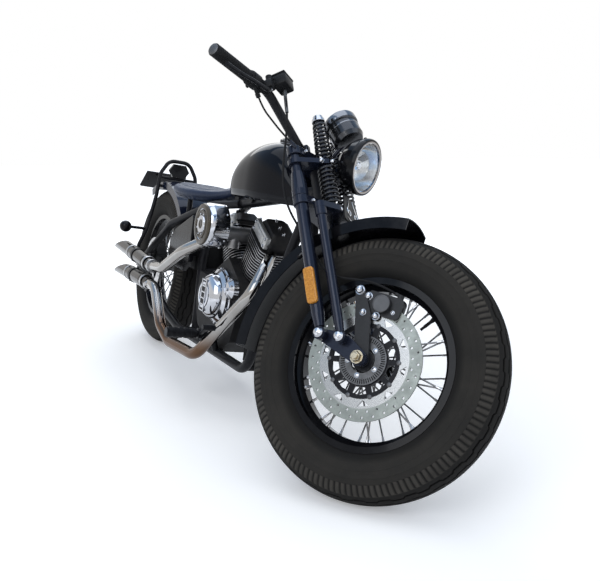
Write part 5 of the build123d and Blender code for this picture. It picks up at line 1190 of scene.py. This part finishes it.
def makeSaddle():
    bm = bmesh.new()
    rings = []
    around = saddle["around"]
    for x, half, low, high in smoothRows(saddle["sections"], 3):
        spots = [roundedSpot(tau * n / around, saddle["square"]) for n in range(around)]
        rings.append([bm.verts.new((x, y * half, (low + high) / 2 + z * (high - low) / 2)) for y, z in spots])
    joinRings(bm, rings)
    piece = newPiece("saddle", bm, "chassis", "vinyl", "navyVinyl", stands="seat", sharp=radians(80))
    remesh = piece.modifiers.new("even", "REMESH")
    remesh.mode = "VOXEL"
    remesh.voxel_size = saddle["voxel"] / 1000
    keepShape(piece)
    swell(piece)
    finer = piece.modifiers.new("finer", "SUBSURF")
    finer.levels = finer.render_levels = 1
    keepShape(piece)
    sewnChannels(piece.data)
    if not piece.data.materials:
        piece.data.materials.append(finish["navyVinyl"])
    for polygon in piece.data.polygons:
        polygon.use_smooth = True


makeSaddle()
print("saddle")

# final drive: the chain's links round both sprockets, each given as (x, z, pitch radius)
chain = dict(rear=(0, 330, 96.1), front=(665, 345, 35.67), y=80, links=110, plate=1.7, eye=6.0, waist=4.4,
             innerGap=4.6, outerGap=6.8, roller=4.9, pin=2.6, pinProud=0.7)


def chainSpots():
    rx, rz, big = chain["rear"]
    fx, fz, small = chain["front"]
    gap = hypot(fx - rx, fz - rz)
    slope = atan2(fz - rz, fx - rx)
    tilt = asin((big - small) / gap)
    straight = sqrt(gap ** 2 - (big - small) ** 2)
    bigArc = big * (pi + 2 * tilt)
    smallArc = small * (pi - 2 * tilt)
    up = slope + pi / 2 - tilt
    down = slope - pi / 2 + tilt
    for n in range(chain["links"]):
        way = (2 * straight + bigArc + smallArc) * n / chain["links"]
        if straight <= way < straight + smallArc:
            yield Vector(polar(small, up - (way - straight) / small, (fx, fz)))
        elif way >= 2 * straight + smallArc:
            yield Vector(polar(big, down - (way - 2 * straight - smallArc) / big, (rx, rz)))
        elif way < straight:
            one, two = polar(big, up, (rx, rz)), polar(small, up, (fx, fz))
            yield Vector(one).lerp(Vector(two), way / straight)
        else:
            one, two = polar(small, down, (fx, fz)), polar(big, down, (rx, rz))
            yield Vector(one).lerp(Vector(two), (way - straight - smallArc) / straight)


def linkPattern(pitch, gap, pinReach, pinRadius):
    bm = bmesh.new()
    half = pitch / 2
    spots = []
    for side in (1, -1):
        for angle in (-70, -35, 0, 35, 70):
            x, z = polar(chain["eye"], radians(angle), (half, 0))
            spots.append((side * x, side * z))
        spots.append((0, side * chain["waist"]))
    for side in (1, -1):
        joinRings(bm, [[bm.verts.new((x, side * y, z)) for x, z in spots]
                       for y in (gap, gap + chain["plate"])])
    for end in (half, -half):
        rodShape(bm, (end, -pinReach, 0), (end, pinReach, 0), pinRadius, 8, 1)
    return patternMesh("linkPattern", bm)


def makeChain():
    spots = list(chainSpots())
    pitch = (spots[1] - spots[0]).length
    gap, wide = chain["innerGap"], chain["outerGap"]
    patterns = (linkPattern(pitch, gap, gap, chain["roller"]),
                linkPattern(pitch, wide, wide + chain["plate"] + chain["pinProud"], chain["pin"]))
    bm = bmesh.new()
    for parity, pattern in enumerate(patterns):
        places = []
        for n in range(parity, len(spots), 2):
            one, two = spots[n], spots[(n + 1) % len(spots)]
            middle = (one + two) / 2
            turn = Matrix.Rotation(-atan2(two.y - one.y, two.x - one.x), 4, "Y")
            places.append(Matrix.Translation((middle.x, chain["y"], middle.y)) @ turn)
        stamp(bm, pattern, places)
    newPiece("chainLinks", bm, "chassis", "chain", "oiledSteel", "stainless", stands="drive_chain")


makeChain()
print("chain")

# lamps and plate at the back; a rail of the plate's frame is (x, y, size)
rearTrim = dict(lampX=-50.4, lampZ=734.3,
                lamp=((-22, 710), (22, 710), (39, 734), (22, 758), (-22, 758), (-39, 734)),
                lampDepth=4.1, lampTaper=0.9, louvres=5, louvreFoot=718, louvrePitch=8, louvreSide=9,
                ball=(-16, 204, 476), plateLow=(-292, 0, 648), plateHigh=(-196, 0, 716),
                plateSize=(174, 106, 1.0), plateBolt=70,
                rails=((0, 55, (182, 6, 3)), (0, -55, (182, 6, 3)), (88, 0, (6, 112, 3)),
                       (-88, 0, (6, 112, 3))))


def makeRearTrim():
    bm = bmesh.new()
    x, middle = rearTrim["lampX"], rearTrim["lampZ"]
    rings = [[bm.verts.new((x - back, y * size, middle + (z - middle) * size)) for y, z in rearTrim["lamp"]]
             for back, size in ((0, 1), (rearTrim["lampDepth"], rearTrim["lampTaper"]))]
    joinRings(bm, rings)
    bmesh.ops.bevel(bm, geom=bm.edges[:], offset=1.2, affect="EDGES", segments=2, profile=0.5, material=-1)
    for side in (1, -1):
        for n in range(rearTrim["louvres"]):
            height = rearTrim["louvreFoot"] + n * rearTrim["louvrePitch"]
            blockShape(bm, (x - 4.4, side * rearTrim["louvreSide"], height), (1.2, 15, 2.6), soften=0.4)
    newPiece("tailLens", bm, "chassis", "amber", "redLens")
    bm = bmesh.new()
    x, y, z = rearTrim["ball"]
    for side in (1, -1):
        ball = axisPlace((x, side * y, z), (-1, 0, 0))
        turnedShape(bm, [(0, 12), (20.4, 12), (21, 12.8), (18.4, 16.6), (13, 20.8), (6.6, 23.8), (0, 24.8)],
                    40, 0, ball)
        turnedShape(bm, [(20.6, 11), (22.4, 9.4), (22.9, 11), (21.6, 13.4), (20.6, 13)], 40, 1, ball)
    newPiece("indicatorLenses", bm, "chassis", "amber", "amberLens", "chromeSmoke")
    low, high = Vector(rearTrim["plateLow"]), Vector(rearTrim["plateHigh"])
    along = (high - low).normalized()
    below = Vector(left).cross(along)
    plate = Matrix.Translation((low + high) / 2) @ Matrix((left, along, below)).transposed().to_4x4()
    bm = bmesh.new()
    blockShape(bm, (0, 0, -2.6), rearTrim["plateSize"], plate, 0, 0.4)
    for x, y, size in rearTrim["rails"]:
        blockShape(bm, (x, y, -3.2), size, plate, 1, 1)
    for side in (-1, 1):
        domedBolt(bm, plate @ Vector((side * rearTrim["plateBolt"], 0, -3)), -below, 4.2, 3.2, material=2)
    newPiece("plateFace", bm, "chassis", "aluminium", "plateAlloy", "satinBlack", "chromePlate")


makeRearTrim()

# exhaust trim: bands and a bolt on each muffler, a collar where its pipe goes in
exhaust = dict(mufflers=(((395, -196, 372), (-92, -206, 402), (125, 0, 12)),
                         ((395, -196, 306), (-58, -206, 304), (75, 6, -116))), radius=26.8,
               bands=((34, 14), (250, 12)), bolt=256, boltDrop=28)


def makeExhaustTrim():
    bm = bmesh.new()
    radius = exhaust["radius"]
    for foot, tip, _ in exhaust["mufflers"]:
        foot = Vector(foot)
        way = (Vector(tip) - foot).normalized()
        for reach, wide in exhaust["bands"]:
            turnedShape(bm, [(radius, 0), (radius + 1.4, 0), (radius + 2, 1), (radius + 2, wide - 1),
                             (radius + 1.4, wide), (radius, wide)], 48, 0, axisPlace(foot + way * reach, way))
        up = Vector((0, 0, 1)) - way * way.z
        spot = foot + way * exhaust["bolt"] - up.normalized() * exhaust["boltDrop"]
        domedBolt(bm, spot, -up, 4.6, 9)
    for foot, _, pipeWay in exhaust["mufflers"]:
        turnedShape(bm, [(18.8, -2), (24, -2), (25, 0), (25, 10), (24, 12), (18.8, 12)], 40, 0,
                    axisPlace(foot, pipeWay))
    newPiece("exhaustClamps", bm, "chassis", "stainless", "stainless")


makeExhaustTrim()

# bar controls: switch housings, perches, levers, mirror bosses and the brake's reservoir;
# a block is (centre, size, softening), the reservoir's on the right side alone
controls = dict(lever=((-80, 222, 730), (-76, 236, 719), (-78, 262, 712), (-84, 300, 709), (-96, 350, 708),
                       (-106, 392, 711)), leverRadius=(7.5, 6.5, 6, 5.6, 5.2, 6.4), leverSides=14,
                perch=(-84, 222, 742), perchSize=(38, 28, 26), pivotFoot=728, clampBolt=(-64, 46, 612),
                boss=(-76, 222, 757), bossTop=14, hole=5, lidTop=779.4, lidBoltX=(-69, -39),
                lidBoltY=(-164, -208),
                reservoir=(((-54, -186, 759), (40, 54, 33), 5), ((-54, -186, 777), (41, 55, 5), 1.6),
                           ((-72, -204, 752), (16, 20, 16), 3)))


def makeControls():
    bm = bmesh.new()
    top, hole = controls["bossTop"], controls["hole"]
    for side in (1, -1):
        foot, way = barSide(side)
        along = axisPlace(foot, way)
        turnedShape(bm, [(12.9, 47), (20, 47), (21, 49), (21, 60.8), (20.3, 61.4), (20.3, 62.4), (21, 63),
                         (21, 75.4), (20, 77.4), (12.9, 77.4)], 40, 0, along)
        turnedShape(bm, [(12.9, 26), (17, 26), (18, 27.4), (18, 45.4), (17, 46.8), (12.9, 46.8)], 36, 0,
                    along)
        x, y, z = controls["perch"]
        blockShape(bm, (x, side * y, z), controls["perchSize"], soften=5)
        path = smoothRows([(x, side * y, z) for x, y, z in controls["lever"]], 5)
        sizes = [size for size, in smoothRows([(size,) for size in controls["leverRadius"]], 5)]
        tubeShape(bm, path, sizes, controls["leverSides"], 3)
        x, y, z = controls["boss"]
        turnedShape(bm, [(hole, 8), (9, -2), (9, top - 0.8), (8.2, top), (hole, top)], 28, 0,
                    Matrix.Translation((x, side * y, z)))
        domedBolt(bm, (x, side * y, controls["pivotFoot"]), (0, 0, -1), 5, 5, material=1)
        foot += way * cords["housing"]
        turnedShape(bm, [(0, 0), (8.4, 0), (8.4, 3.4), (7, 4.6), (0, 4.8)], 28, 2,
                    Matrix.Translation(foot + Vector((-2, 0, 19.6))))
        blockShape(bm, foot + Vector((-20.4, 0, 4)), (6, 16, 9), material=2, soften=1.5)
        blockShape(bm, foot + Vector((-20, 0, -9)), (6, 9, 6), material=2, soften=1.5)
        x, y, z = controls["clampBolt"]
        domedBolt(bm, (x, side * y, z), (1, 0, 0.3), 4.4, 6, material=1)
    bossTop, bossTip, drop = cableBoss()
    rodShape(bm, bossTop, bossTip, 5, 20)
    rodShape(bm, bossTop + drop * 22, bossTop + drop * 33, 6.4, 20)
    for centre, size, soften in controls["reservoir"]:
        blockShape(bm, centre, size, soften=soften)
    for y in controls["lidBoltY"]:
        for x in controls["lidBoltX"]:
            domedBolt(bm, (x, y, controls["lidTop"]), (0, 0, 1), 2.4, 1.8, material=1)
    newPiece("controlSet", bm, "fork", "black_plastic", "blackPlastic", "chromePlate", "blackRubber",
             "satinBlack", stands="bar_controls")


makeControls()
print("trim")
